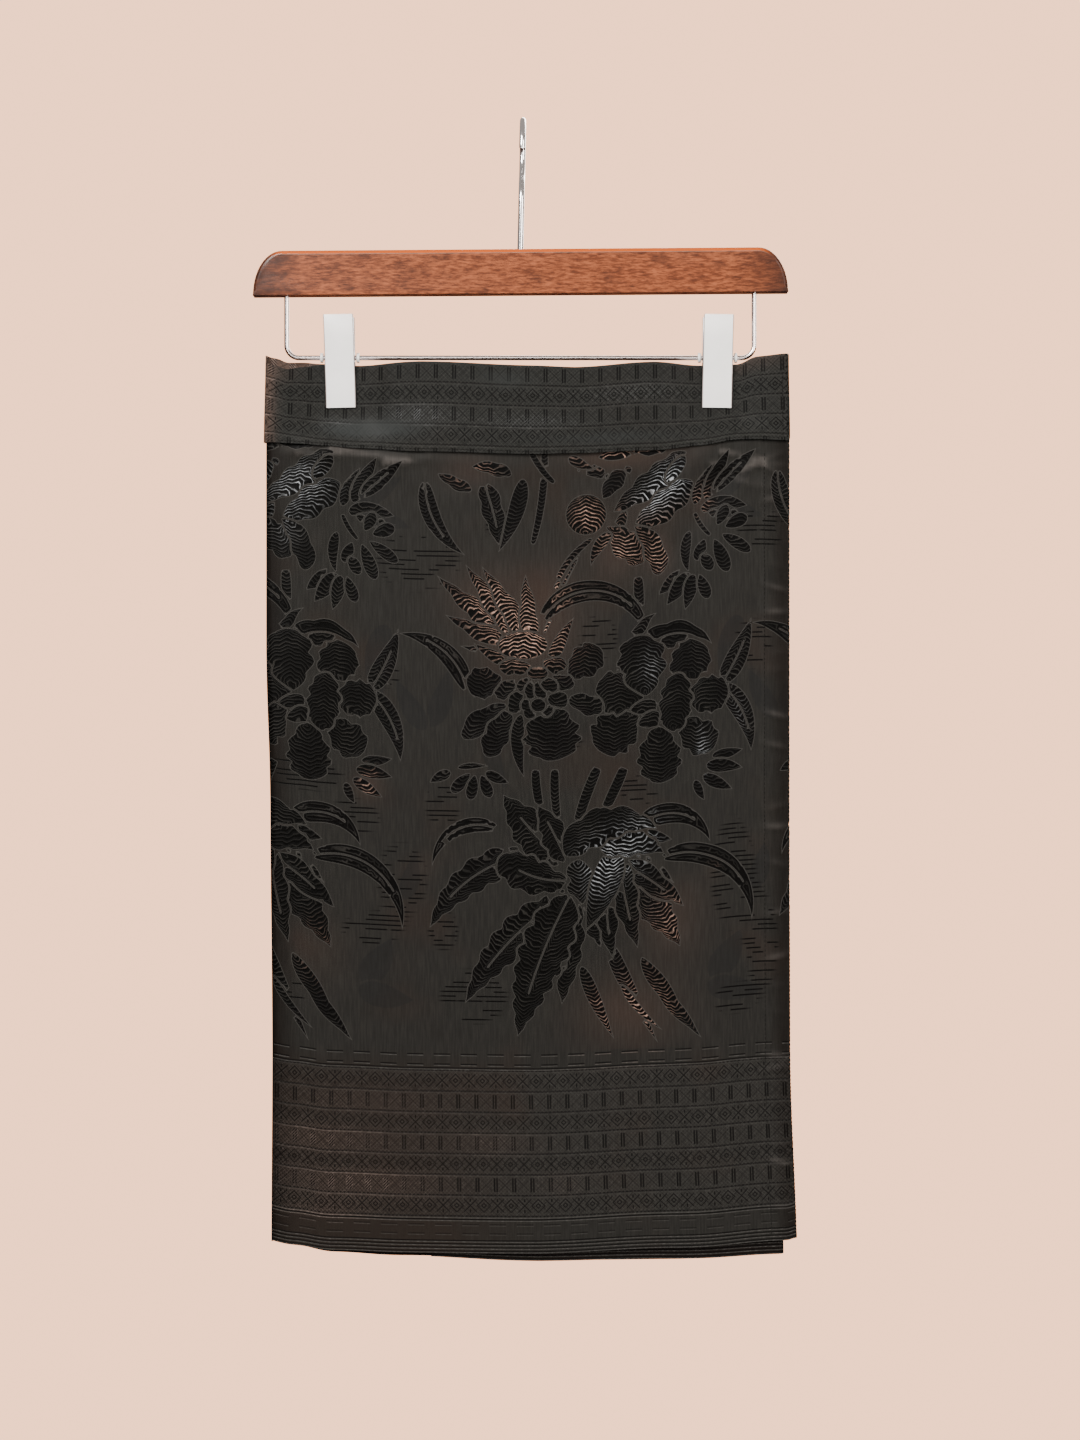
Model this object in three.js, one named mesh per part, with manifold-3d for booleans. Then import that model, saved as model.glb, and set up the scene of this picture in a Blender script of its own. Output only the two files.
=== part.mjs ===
// A ready-made wrap samping that hangs by its waistband from a clip hanger.
// Millimetres, +Z up, +X along the hanger bar, the outer front faces -Y.
// The origin is the inside of the hook's crown, where it rests on a rail.
import * as THREE from 'three';
import { mergeVertices } from 'three/addons/utils/BufferGeometryUtils.js';
import Module from 'manifold-3d';

// ---------------------------------------------------------------- driving dimensions

const seamGap = 0.3;

const hook = {
  wire: 4,
  insideRadius: 18,
  neckRadius: 20,
  tipAngle: 95,
  lean: 1.2,
  rise: 85,
  seatDepth: 12,
};

const bar = {
  length: 360,
  height: 30,
  depth: 14,
  shoulder: 20,
  edgeRadius: 3,
  tilt: -0.43,
};

const rail = {
  wire: 3.2,
  halfSpan: 157.5,
  drop: 42.8,
  bendRadius: 8.5,
  seatDepth: 8,
};

const clip = {
  width: 20,
  plate: 1,
  earTop: 18,
  earFoot: 4,
  earRadius: 3.6,
  earInset: 1.3,
  flange: 2.2,
  bore: 4.6,
  springDiameter: 7.2,
  springWidth: 12,
};

// inner face of a jaw, down its height: lever, wire, and the grip on the cloth
const jawFace = [
  { z: 28.3, y: 9.0 },
  { z: 12.7, y: 6.4 },
  { z: 0, y: 5.2 },
  { z: -8, y: 4.5 },
  { z: -16, y: 2.7 },
  { z: -33.8, y: 2.7 },
];

const clips = [
  { side: 'left', x: -121.5, tilt: -1.5 },
  { side: 'right', x: 132.9, tilt: 1.0 },
];

const collar = { radius: 3.3, width: 2, standOff: 1.2 };

const cloth = {
  wall: 1.2,
  bandWall: 1.4,
  bandLift: 1.6,
  tuck: 8,
  turning: 17,
  tuckEnd: 30,
  halfWidth: 175,
  sideDepth: 5,
  crown: 3.5,
  underStep: 3.6,
  pinchedStep: 1.7,
  pinchedDepth: 0.1,
  underEnd: -60,
  backInset: 8,
  waistZ: -215,
  drop: 540,
};

// The clips draw the layers together: flat across the jaw, then easing out. The layers
// on the outer side part from each other sooner than the front parts from the back.
const pinch = { halfWidth: 11, flatTo: -192.5 };
const roomEase = { across: 34, down: 30 };
const stepEase = { across: 18, down: 13 };

// side edges of the wrap cloth, down its length
const sides = [
  { z: -155, left: -169.6, right: 179.2 },
  { z: -215, left: -170.8, right: 180.1 },
  { z: -355, left: -170.8, right: 180.1 },
  { z: -456, left: -168.1, right: 180.1 },
  { z: -624, left: -166.7, right: 180.6 },
  { z: -770, left: -167.4, right: 185.4 },
];

// the waistband's top and lower edges across the front, and the top across the back
const bandEdges = [
  { x: -174, top: -159.1, backTop: -155.2, bottom: -214.8 },
  { x: -165, top: -163.5, backTop: -157.4, bottom: -215.2 },
  { x: -157, top: -166.3, backTop: -160.4, bottom: -215.8 },
  { x: -148, top: -164.6, backTop: -160.6, bottom: -216.3 },
  { x: -134, top: -162.6, backTop: -161.8, bottom: -217.5 },
  { x: -108, top: -163.4, backTop: -163.4, bottom: -219.3 },
  { x: -67, top: -161.2, backTop: -161.6, bottom: -221.6 },
  { x: 8, top: -164.2, backTop: -163.8, bottom: -223.5 },
  { x: 37, top: -165.2, backTop: -164.2, bottom: -222.8 },
  { x: 90, top: -161.2, backTop: -161.6, bottom: -220.6 },
  { x: 120, top: -163.2, backTop: -163.4, bottom: -217.4 },
  { x: 146, top: -162.4, backTop: -162.4, bottom: -213.4 },
  { x: 160, top: -157.3, backTop: -157.6, bottom: -213.1 },
  { x: 181, top: -155.4, backTop: -155.6, bottom: -213.9 },
];

// the hem dips in the middle, and the back and under stretches hang lower than the front
const hems = [
  { x: -170, front: -751.4, back: -752.6, under: -752.6 },
  { x: -153, front: -754.3, back: -756.2, under: -756.2 },
  { x: -127, front: -757.6, back: -761.0, under: -759.6 },
  { x: -81, front: -759.2, back: -763.9, under: -761.8 },
  { x: 13, front: -759.7, back: -767.3, under: -765.3 },
  { x: 108, front: -756.0, back: -766.0, under: -764.0 },
  { x: 179, front: -751.5, back: -761.2, under: -761.2 },
  { x: 187, front: -749.4, back: -760.4, under: -760.4 },
];

// soft vertical folds: depth is positive where the cloth stands forward
const frontFolds = [
  { topX: -146, hemX: -150, halfWidth: 26, topDepth: 2.2, hemDepth: 1.0 },
  { topX: -108, hemX: -96, halfWidth: 30, topDepth: -1.8, hemDepth: -1.2 },
  { topX: -20, hemX: -8, halfWidth: 60, topDepth: 2.0, hemDepth: 1.6 },
  { topX: 104, hemX: 62, halfWidth: 32, topDepth: -1.8, hemDepth: -1.4 },
  { topX: 158, hemX: 128, halfWidth: 26, topDepth: 1.6, hemDepth: 1.8 },
];

const backFolds = [
  { topX: -128, hemX: -112, halfWidth: 34, topDepth: -1.4, hemDepth: -1.2 },
  { topX: -30, hemX: -52, halfWidth: 56, topDepth: 2.0, hemDepth: 1.8 },
  { topX: 112, hemX: 78, halfWidth: 36, topDepth: -1.6, hemDepth: -1.4 },
];

// how finely each form is divided
const steps = {
  fold: 4,
  betweenClips: 12,
  wrapDown: 11,
  hookLoop: 22,
  hookNeck: 8,
  hook: 46,
  railPiece: 6,
  shoulder: 8,
  ear: 8,
};

// ---------------------------------------------------------------- finishes

const finish = (color, roughness, metalness) =>
  new THREE.MeshStandardMaterial({ color, roughness, metalness });

const wood = finish(0x7a3520, 0.35, 0);
const chrome = finish(0xc9c4c4, 0.15, 1);
const satinMetal = finish(0xd9d9dc, 0.35, 0.9);
const whitePlastic = finish(0xeeebe6, 0.5, 0);
const jacquard = finish(0x2b2a28, 0.5, 0);
const borderCloth = finish(0x4a4744, 0.5, 0);

// ---------------------------------------------------------------- shared helpers

const wasm = await Module();
wasm.setup();

const radians = THREE.MathUtils.degToRad;
const mix = THREE.MathUtils.lerp;
const ease = (value, from, to) => THREE.MathUtils.smootherstep(value, from, to);

function readTable(table, key, at, column) {
  const rising = table[0][key] < table[table.length - 1][key];
  const rows = rising ? table : [...table].reverse();
  const last = rows.length - 1;
  if (at <= rows[0][key]) return rows[0][column];
  if (at >= rows[last][key]) return rows[last][column];
  const i = rows.findIndex((row) => row[key] > at) - 1;
  const share = (at - rows[i][key]) / (rows[i + 1][key] - rows[i][key]);
  return mix(rows[i][column], rows[i + 1][column], ease(share, 0, 1) * 0.5 + share * 0.5);
}

function toSolid(geometry) {
  geometry.deleteAttribute('normal');
  geometry.deleteAttribute('uv');
  const merged = mergeVertices(geometry, 1e-4);
  return new wasm.Manifold(new wasm.Mesh({
    numProp: 3,
    vertProperties: merged.attributes.position.array,
    triVerts: new Uint32Array(merged.index.array),
  }));
}

function toGeometry(solid) {
  const mesh = solid.getMesh();
  const geometry = new THREE.BufferGeometry();
  geometry.setAttribute('position', new THREE.BufferAttribute(mesh.vertProperties, 3));
  geometry.setIndex(new THREE.BufferAttribute(mesh.triVerts, 1));
  geometry.computeVertexNormals();
  return geometry;
}

function named(name, geometry, material) {
  const mesh = new THREE.Mesh(geometry, material);
  mesh.name = name;
  return mesh;
}

// a solid whose outline lies in the YZ plane and that runs along X from x0 to x1
function alongX(outline, x0, x1) {
  const shape = new THREE.Shape(outline.map(([y, z]) => new THREE.Vector2(y, z)));
  const geometry = new THREE.ExtrudeGeometry(shape, { depth: x1 - x0, bevelEnabled: false });
  geometry.applyMatrix4(new THREE.Matrix4().makeBasis(
    new THREE.Vector3(0, 1, 0),
    new THREE.Vector3(0, 0, 1),
    new THREE.Vector3(1, 0, 0),
  ));
  geometry.translate(x0, 0, 0);
  return geometry;
}

// an eight-sided wire along a curve
function wireAlong(curve, diameter, stepCount) {
  const corners = [];
  for (let i = 0; i < 8; i++) {
    const angle = (i / 8) * Math.PI * 2;
    corners.push(new THREE.Vector2(Math.cos(angle), Math.sin(angle)).multiplyScalar(diameter / 2));
  }
  return new THREE.ExtrudeGeometry(new THREE.Shape(corners), { steps: stepCount, extrudePath: curve });
}

// a path whose pieces take equal shares of the steps, however long they are
class EvenPath extends THREE.CurvePath {
  getPoint(t) {
    const place = Math.min(t * this.curves.length, this.curves.length - 1e-9);
    const i = Math.floor(place);
    return this.curves[i].getPoint(place - i);
  }

  getUtoTmapping(u) {
    return u;
  }
}

function ringAlongX(innerRadius, outerRadius, width, sideCount) {
  const half = width / 2;
  const profile = [
    new THREE.Vector2(innerRadius, -half),
    new THREE.Vector2(outerRadius, -half),
    new THREE.Vector2(outerRadius, half),
    new THREE.Vector2(innerRadius, half),
    new THREE.Vector2(innerRadius, -half),
  ];
  const geometry = new THREE.LatheGeometry(profile, sideCount);
  geometry.rotateZ(-Math.PI / 2);
  return geometry;
}

// ---------------------------------------------------------------- hanger

const barTop = -hook.rise;
const barCentreX = -Math.sin(radians(hook.lean)) * hook.rise;
const railZ = barTop - bar.height - rail.drop;

// the loop runs from the tip over the crown and down the back, and the neck bends it
// forward again into the straight shank
function hookCurve() {
  const radius = hook.insideRadius + hook.wire / 2;
  const loopZ = -hook.insideRadius;
  const neckAngle = Math.PI - Math.asin(hook.neckRadius / (radius + hook.neckRadius));
  const neckZ = loopZ + (radius + hook.neckRadius) * Math.cos(neckAngle);
  const arcPoint = (y, z, r, angle) => new THREE.Vector3(0, y + r * Math.sin(angle), z + r * Math.cos(angle));
  const points = [];
  for (let i = 0; i <= steps.hookLoop; i++) {
    const angle = mix(-radians(hook.tipAngle), neckAngle, i / steps.hookLoop);
    points.push(arcPoint(0, loopZ, radius, angle));
  }
  for (let i = 1; i <= steps.hookNeck; i++) {
    const angle = mix(neckAngle - Math.PI, -Math.PI / 2, i / steps.hookNeck);
    points.push(arcPoint(hook.neckRadius, neckZ, hook.neckRadius, angle));
  }
  points.push(new THREE.Vector3(0, 0, mix(neckZ, barTop, 0.5)));
  points.push(new THREE.Vector3(0, 0, barTop));
  points.push(new THREE.Vector3(0, 0, barTop - hook.seatDepth));
  return new THREE.CatmullRomCurve3(points, false, 'centripetal');
}

function makeHook() {
  const geometry = wireAlong(hookCurve(), hook.wire, steps.hook);
  geometry.rotateY(radians(hook.lean));
  return named('hanger_hook', geometry, chrome);
}

function railCurve() {
  const { halfSpan, drop, bendRadius, seatDepth } = rail;
  const point = (x, z) => new THREE.Vector3(x, 0, z);
  const inner = halfSpan - bendRadius;
  const bendZ = bendRadius - drop;
  const path = new EvenPath();
  const straight = (from, to) => path.add(new THREE.LineCurve3(from, to));
  const bend = (from, corner, to) => path.add(new THREE.QuadraticBezierCurve3(from, corner, to));
  straight(point(-halfSpan, seatDepth), point(-halfSpan, bendZ));
  bend(point(-halfSpan, bendZ), point(-halfSpan, -drop), point(-inner, -drop));
  straight(point(-inner, -drop), point(inner, -drop));
  bend(point(inner, -drop), point(halfSpan, -drop), point(halfSpan, bendZ));
  straight(point(halfSpan, bendZ), point(halfSpan, seatDepth));
  return path;
}

function makeRail() {
  const curve = railCurve();
  const geometry = wireAlong(curve, rail.wire, curve.curves.length * steps.railPiece);
  geometry.translate(barCentreX, 0, barTop - bar.height);
  return named('hanger_wire', geometry, chrome);
}

function barOutline() {
  const half = bar.length / 2 - bar.edgeRadius;
  const inset = bar.edgeRadius;
  const height = bar.height - 2 * inset;
  const shoulder = bar.shoulder;
  const outline = new THREE.Shape();
  outline.moveTo(-half, inset - bar.height);
  outline.lineTo(half, inset - bar.height);
  outline.absellipse(half - shoulder, inset - bar.height, shoulder, height, 0, Math.PI / 2, false, 0);
  outline.lineTo(shoulder - half, -inset);
  outline.absellipse(shoulder - half, inset - bar.height, shoulder, height, Math.PI / 2, Math.PI, false, 0);
  return outline;
}

function makeBar() {
  const flatDepth = bar.depth - 2 * bar.edgeRadius;
  const blank = new THREE.ExtrudeGeometry(barOutline(), {
    depth: flatDepth,
    curveSegments: steps.shoulder,
    bevelThickness: bar.edgeRadius,
    bevelSize: bar.edgeRadius,
    bevelSegments: 3,
  });
  blank.translate(0, 0, -flatDepth / 2);
  blank.rotateX(Math.PI / 2);
  let solid = toSolid(blank);
  for (const x of [-rail.halfSpan, rail.halfSpan]) {
    solid = solid.subtract(drill(rail.wire, x, -bar.height, rail.seatDepth));
  }
  solid = solid.subtract(drill(hook.wire, 0, 0, hook.seatDepth));
  const mesh = named('hanger_bar', toGeometry(solid), wood);
  mesh.rotation.y = radians(bar.tilt);
  mesh.position.set(barCentreX, 0, barTop);
  return mesh;
}

// a blind hole for a wire end, with room for the bar's slight tilt
function drill(wireDiameter, x, z, seatDepth) {
  const radius = wireDiameter / 2 + 2 * seamGap;
  const depth = seatDepth + 2.5;
  const hole = new THREE.CylinderGeometry(radius, radius, depth * 2, 12);
  hole.rotateX(Math.PI / 2);
  hole.translate(x, 0, z);
  return toSolid(hole);
}

// ---------------------------------------------------------------- clips and collars

const faceY = (z) => -readTable(jawFace, 'z', z, 'y');

// a jaw is a bent plate, with two ears that the wire runs through
function makeJaw(name, earInset) {
  const half = clip.width / 2;
  const inner = jawFace.map(({ y, z }) => [-y, z]);
  const outer = jawFace.map(({ y, z }) => [-y - clip.plate, z]).reverse();
  let solid = toSolid(alongX([...inner, ...outer], -half, half));
  for (const side of [-1, 1]) {
    const outerX = side * (half - earInset);
    const innerX = outerX - side * clip.plate;
    const ear = alongX(earOutline(), Math.min(outerX, innerX), Math.max(outerX, innerX));
    solid = solid.add(toSolid(ear));
  }
  const bore = new THREE.CylinderGeometry(clip.bore / 2, clip.bore / 2, clip.width * 2, 12);
  bore.rotateZ(Math.PI / 2);
  return named(name, toGeometry(solid.subtract(toSolid(bore))), satinMetal);
}

// the ear leaves the plate as a narrow flange and rounds the wire
function earOutline() {
  const insideThePlate = clip.plate / 2;
  const top = clip.earTop;
  const foot = -clip.earFoot;
  const outline = [
    [faceY(foot) - insideThePlate, foot],
    [faceY(0) - insideThePlate, 0],
    [faceY(top * 0.7) - insideThePlate, top * 0.7],
    [faceY(top) - insideThePlate, top],
    [faceY(top) + clip.flange, top],
  ];
  for (let i = 0; i <= steps.ear; i++) {
    const angle = mix(radians(-20), radians(200), i / steps.ear);
    outline.push([clip.earRadius * Math.sin(angle), clip.earRadius * Math.cos(angle)]);
  }
  return outline;
}

function makeClip({ side, x, tilt }) {
  const group = new THREE.Group();
  const front = makeJaw(`clip_${side}_front_jaw`, 0);
  const back = makeJaw(`clip_${side}_back_jaw`, clip.earInset);
  back.rotation.z = Math.PI;
  const springBore = rail.wire / 2 + seamGap;
  const spring = ringAlongX(springBore, clip.springDiameter / 2, clip.springWidth, 14);
  group.add(front, back, named(`clip_${side}_spring`, spring, satinMetal));
  group.rotation.y = radians(tilt);
  group.position.set(barCentreX + x, 0, railZ);
  return group;
}

function makeCollars() {
  const group = new THREE.Group();
  for (const { side, x } of clips) {
    for (const [place, direction] of [['outer', -1], ['inner', 1]]) {
      const ring = ringAlongX(rail.wire / 2 + seamGap, collar.radius, collar.width, 12);
      const reach = clip.width / 2 + collar.standOff + collar.width / 2;
      ring.translate(barCentreX + x + direction * reach, 0, railZ);
      group.add(named(`collar_${side}_${place}`, ring, whitePlastic));
    }
  }
  return group;
}

// ---------------------------------------------------------------- cloth

function pinchAt(x, z, easing) {
  const down = 1 - ease(-z, -pinch.flatTo, -pinch.flatTo + easing.down);
  let across = 0;
  for (const one of clips) {
    const away = Math.abs(x - one.x);
    across = Math.max(across, 1 - ease(away, pinch.halfWidth, pinch.halfWidth + easing.across));
  }
  return across * down;
}

function foldsAt(folds, x, z) {
  const share = THREE.MathUtils.clamp((cloth.waistZ - z) / cloth.drop, 0, 1);
  let depth = 0;
  for (const fold of folds) {
    const away = (x - mix(fold.topX, fold.hemX, share)) / fold.halfWidth;
    depth += mix(fold.topDepth, fold.hemDepth, share) * Math.exp(-away * away);
  }
  return depth;
}

// half the room between the outer front and the back, before the folds
function roomAt(x, z) {
  const open = cloth.sideDepth + cloth.crown * Math.max(0, 1 - (x / cloth.halfWidth) ** 2);
  return mix(open, cloth.pinchedDepth, pinchAt(x, z, roomEase));
}

// folds die away at the jaws and at the side folds
function foldShare(x, z) {
  const side = 1 - ease(Math.abs(x - 5), 0.8 * cloth.halfWidth, cloth.halfWidth - 3);
  return side * (1 - pinchAt(x, z, roomEase));
}

const frontY = (x, z) => -roomAt(x, z) - foldsAt(frontFolds, x, z) * foldShare(x, z);
const backY = (x, z) => roomAt(x, z) + foldsAt(backFolds, x, z) * foldShare(x, z);
const underStep = (x, z) => mix(cloth.underStep, cloth.pinchedStep, pinchAt(x, z, stepEase));
const underY = (x, z) => frontY(x, z) + underStep(x, z);

const leftAt = (z) => readTable(sides, 'z', z, 'left');
const rightAt = (z) => readTable(sides, 'z', z, 'right');
const backRightAt = (z) => rightAt(z) - cloth.backInset;
const edge = (x, column) => readTable(bandEdges, 'x', x, column);
const hem = (x, column) => readTable(hems, 'x', x, column);

// upright columns at the same places in every layer, closer together round the clips
function stations() {
  const places = [];
  for (const { x } of clips) {
    for (const away of [0, 11, 21, 32, 45]) places.push(x - away, x + away);
  }
  const from = clips[0].x + 45;
  const to = clips[1].x - 45;
  for (let i = 1; i < steps.betweenClips; i++) places.push(mix(from, to, i / steps.betweenClips));
  const distinct = [...new Set(places)].filter((x) => x > -158 && x < 166);
  return distinct.sort((a, b) => a - b);
}

// Each stretch gives its columns, from one side fold to its other end. A column says where
// its point lies in plan at a height z, and at which x its edges are read off.

function leftFoldColumns(yOf, sign) {
  const columns = [];
  const radius = cloth.sideDepth;
  for (let i = 0; i < steps.fold; i++) {
    const angle = (i / steps.fold) * (Math.PI / 2);
    const inward = radius * (1 - Math.cos(angle));
    columns.push({
      edgeX: (z) => leftAt(z) + inward,
      plan: (z) => {
        const start = (sign * seamGap) / 2;
        const side = yOf(leftAt(z) + radius, z);
        return [leftAt(z) + inward, mix(start, side, Math.sin(angle))];
      },
    });
  }
  return columns;
}

const columnAt = (xAt, yOf) => ({ edgeX: xAt, plan: (z) => [xAt(z), yOf(xAt(z), z)] });

function acrossColumns(fromAt, toAt, yOf) {
  const inside = stations().filter((x) => x > fromAt(cloth.waistZ) + 4 && x < toAt(cloth.waistZ) - 4);
  const fixed = inside.map((x) => columnAt(() => x, yOf));
  return [columnAt(fromAt, yOf), ...fixed, columnAt(toAt, yOf)];
}

// The free front edge goes round the turn and back along the inside. These columns give the
// middle of the wall itself, so lift says how far it lies outside the wrap cloth.
function turningColumns(layerStep, lift) {
  const columns = [];
  const radius = layerStep / 2;
  for (const degrees of [45, 90, 135, 180]) {
    const out = radius * Math.sin(radians(degrees));
    const back = radius * (1 - Math.cos(radians(degrees)));
    columns.push({
      turned: true,
      edgeX: rightAt,
      plan: (z) => [rightAt(z) + out, frontY(rightAt(z), z) - lift + back],
    });
  }
  for (const share of [0.5, 1]) {
    const xAt = (z) => rightAt(z) - cloth.turning * share;
    columns.push({
      turned: true,
      edgeX: xAt,
      plan: (z) => [xAt(z), frontY(xAt(z), z) - lift + layerStep],
    });
  }
  return columns;
}

// the right fold that joins the back stretch to the under stretch
function rightFold(z) {
  const front = underY(backRightAt(z), z);
  const back = backY(backRightAt(z), z);
  return { centre: (front + back) / 2, radius: (back - front) / 2, x: backRightAt(z) };
}

function rightFoldColumns(sign) {
  const columns = [];
  for (let i = 1; i <= steps.fold; i++) {
    const angle = (i / steps.fold) * (Math.PI / 2);
    columns.push({
      edgeX: backRightAt,
      plan: (z) => {
        const fold = rightFold(z);
        const reach = fold.radius - seamGap / 2;
        const y = fold.centre + sign * (seamGap / 2 + reach * Math.cos(angle));
        return [fold.x - fold.radius * (1 - Math.sin(angle)), y];
      },
    });
  }
  return columns;
}

const foldStart = (z) => leftAt(z) + cloth.sideDepth;
const backEnd = (z) => rightFold(z).x - rightFold(z).radius;
const underEnd = () => cloth.underEnd;

const frontColumns = () => [
  ...leftFoldColumns(frontY, -1),
  ...acrossColumns(foldStart, rightAt, frontY),
];

const backColumns = () => [
  ...leftFoldColumns(backY, 1),
  ...acrossColumns(foldStart, backEnd, backY),
  ...rightFoldColumns(1),
];

const underColumns = () => [
  ...acrossColumns(underEnd, backEnd, underY),
  ...rightFoldColumns(-1),
];

// moves a plan section sideways: positive is away from the wearer
function offsetPlan(section, outwardSign, distance) {
  const last = section.length - 1;
  const run = (i, axis) => {
    const at = (k) => section[k][axis];
    if (i === 0) return 4 * at(1) - 3 * at(0) - at(2);
    if (i === last) return 3 * at(last) - 4 * at(last - 1) + at(last - 2);
    return at(i + 1) - at(i - 1);
  };
  return section.map(([x, y], i) => {
    const push = (outwardSign * distance) / Math.hypot(run(i, 0), run(i, 1));
    return [x + run(i, 1) * push, y - run(i, 0) * push];
  });
}

// A wall along the columns, lifted off the wrap cloth, and closed by a rim all round.
// rowsAt(column) gives the heights of a column's points, from the top down.
function makeWall({ name, columns, turning = [], outwardSign, lift, wall, rowsAt, material }) {
  const positions = [];
  const all = [...columns, ...turning];
  const width = all.length;
  const rows = all.map(rowsAt);
  const rowCount = rows[0].length - 1;
  for (const distance of [wall / 2, -wall / 2]) {
    for (let row = 0; row <= rowCount; row++) {
      const heights = rows.map((column) => column[row]);
      const plan = all.map((column, i) => column.plan(heights[i]));
      const lifted = offsetPlan(plan.slice(0, columns.length), outwardSign, lift);
      const section = [...lifted, ...plan.slice(columns.length)];
      offsetPlan(section, outwardSign, distance).forEach(([x, y], i) => {
        positions.push(barCentreX + x, y, heights[i]);
      });
    }
  }
  const at = (face, row, i) => (face * (rowCount + 1) + row) * width + i;
  const triangles = [];
  const quad = (a, b, c, d) => {
    if (outwardSign > 0) triangles.push(a, b, c, a, c, d);
    else triangles.push(a, c, b, a, d, c);
  };
  const end = width - 1;
  for (let row = 0; row < rowCount; row++) {
    for (let i = 0; i < end; i++) {
      quad(at(0, row, i), at(0, row + 1, i), at(0, row + 1, i + 1), at(0, row, i + 1));
      quad(at(1, row, i), at(1, row, i + 1), at(1, row + 1, i + 1), at(1, row + 1, i));
    }
    quad(at(0, row, 0), at(1, row, 0), at(1, row + 1, 0), at(0, row + 1, 0));
    quad(at(0, row, end), at(0, row + 1, end), at(1, row + 1, end), at(1, row, end));
  }
  for (let i = 0; i < end; i++) {
    quad(at(0, 0, i), at(0, 0, i + 1), at(1, 0, i + 1), at(1, 0, i));
    quad(at(0, rowCount, i), at(1, rowCount, i), at(1, rowCount, i + 1), at(0, rowCount, i + 1));
  }
  const geometry = new THREE.BufferGeometry();
  geometry.setAttribute('position', new THREE.Float32BufferAttribute(positions, 3));
  geometry.setIndex(triangles);
  geometry.computeVertexNormals();
  return named(name, geometry, material);
}

// rows lie closer together near the waist, where the clips shape the cloth
const waistCrowding = 1.35;

// The wrap cloth tucks up behind the waistband, but not where the band's own end turns in.
// Its second row lies level with the band's lower edge, so the two stay parallel there.
function wrapRows(column, hemColumn, endTurns) {
  const x = column.edgeX(cloth.waistZ);
  const bottom = edge(x, 'bottom');
  const underTheTurn = endTurns && x > rightAt(cloth.waistZ) - cloth.tuckEnd;
  const top = underTheTurn ? bottom - seamGap : bottom + cloth.tuck;
  const second = Math.min(bottom, top - 3);
  const end = hem(column.edgeX(cloth.waistZ - cloth.drop), hemColumn);
  const rows = [top];
  for (let i = 0; i < steps.wrapDown; i++) {
    rows.push(mix(second, end, (i / (steps.wrapDown - 1)) ** waistCrowding));
  }
  return rows;
}

function bandRows(column, topColumn) {
  const x = column.edgeX(cloth.waistZ);
  const top = edge(x, topColumn);
  const bottom = edge(x, 'bottom');
  return [top, mix(top, pinch.flatTo, 0.5), pinch.flatTo, bottom + cloth.tuck, bottom];
}

function makeWrap(name, stretch, hemColumn) {
  return makeWall({
    name,
    ...stretch,
    lift: 0,
    wall: cloth.wall,
    material: jacquard,
    rowsAt: (column) => wrapRows(column, hemColumn, stretch.turning !== undefined),
  });
}

function makeBand(name, stretch, topColumn) {
  return makeWall({
    name,
    ...stretch,
    lift: cloth.bandLift,
    wall: cloth.bandWall,
    material: borderCloth,
    rowsAt: (column) => bandRows(column, topColumn),
  });
}

function makeCloth() {
  const group = new THREE.Group();
  const front = { columns: frontColumns(), outwardSign: 1 };
  const back = { columns: backColumns(), outwardSign: -1 };
  const under = { columns: underColumns(), outwardSign: 1 };
  const wrapTurning = turningColumns(cloth.wall + seamGap, 0);
  const bandTurning = turningColumns(cloth.bandWall + seamGap, cloth.bandLift);
  group.add(makeWrap('wrap_front', { ...front, turning: wrapTurning }, 'front'));
  group.add(makeWrap('wrap_back', back, 'back'));
  group.add(makeWrap('wrap_under', under, 'under'));
  group.add(makeBand('waistband_front', { ...front, turning: bandTurning }, 'top'));
  group.add(makeBand('waistband_back', back, 'backTop'));
  group.add(makeBand('waistband_under', under, 'top'));
  return group;
}

// ---------------------------------------------------------------- the whole part

const samping = new THREE.Group();
samping.add(makeHook(), makeBar(), makeRail(), makeCollars());
for (const one of clips) samping.add(makeClip(one));
samping.add(makeCloth());

export default samping;
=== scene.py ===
# A ready-made wrap samping on a clip hanger, dressed for rendering. Metres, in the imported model's
# frame: the origin is the inside of the hook's crown, +Z is up, +X runs along the wooden bar, and
# the outer front of the cloth faces -Y.
import math
from functools import partialmethod

import bpy
import numpy as np
from mathutils import Matrix, Vector
from mathutils.geometry import delaunay_2d_cdt
from mathutils.kdtree import KDTree


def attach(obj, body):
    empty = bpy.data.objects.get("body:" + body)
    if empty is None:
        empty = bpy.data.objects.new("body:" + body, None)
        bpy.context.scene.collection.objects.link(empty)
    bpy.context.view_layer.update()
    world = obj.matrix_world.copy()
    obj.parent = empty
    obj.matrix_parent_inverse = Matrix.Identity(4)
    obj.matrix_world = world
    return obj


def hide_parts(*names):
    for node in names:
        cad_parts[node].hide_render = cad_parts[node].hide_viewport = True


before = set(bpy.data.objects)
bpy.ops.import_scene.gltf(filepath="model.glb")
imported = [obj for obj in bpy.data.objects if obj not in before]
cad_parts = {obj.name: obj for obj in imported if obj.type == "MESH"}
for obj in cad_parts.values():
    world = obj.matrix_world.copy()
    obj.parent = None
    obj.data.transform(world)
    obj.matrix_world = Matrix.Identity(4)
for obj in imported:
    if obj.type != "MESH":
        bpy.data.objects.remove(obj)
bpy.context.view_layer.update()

mm = 0.001


# ---------------------------------------------------------------- camera, floor and light
# A level camera at the height of the cloth's upper third, and a pale round floor well below the
# hem. Four soft lamps light it: a broad one at the upper left, a weaker one at the right, a wide
# flat one straight ahead and one behind. The room round them is warm, and darker below.

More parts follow.
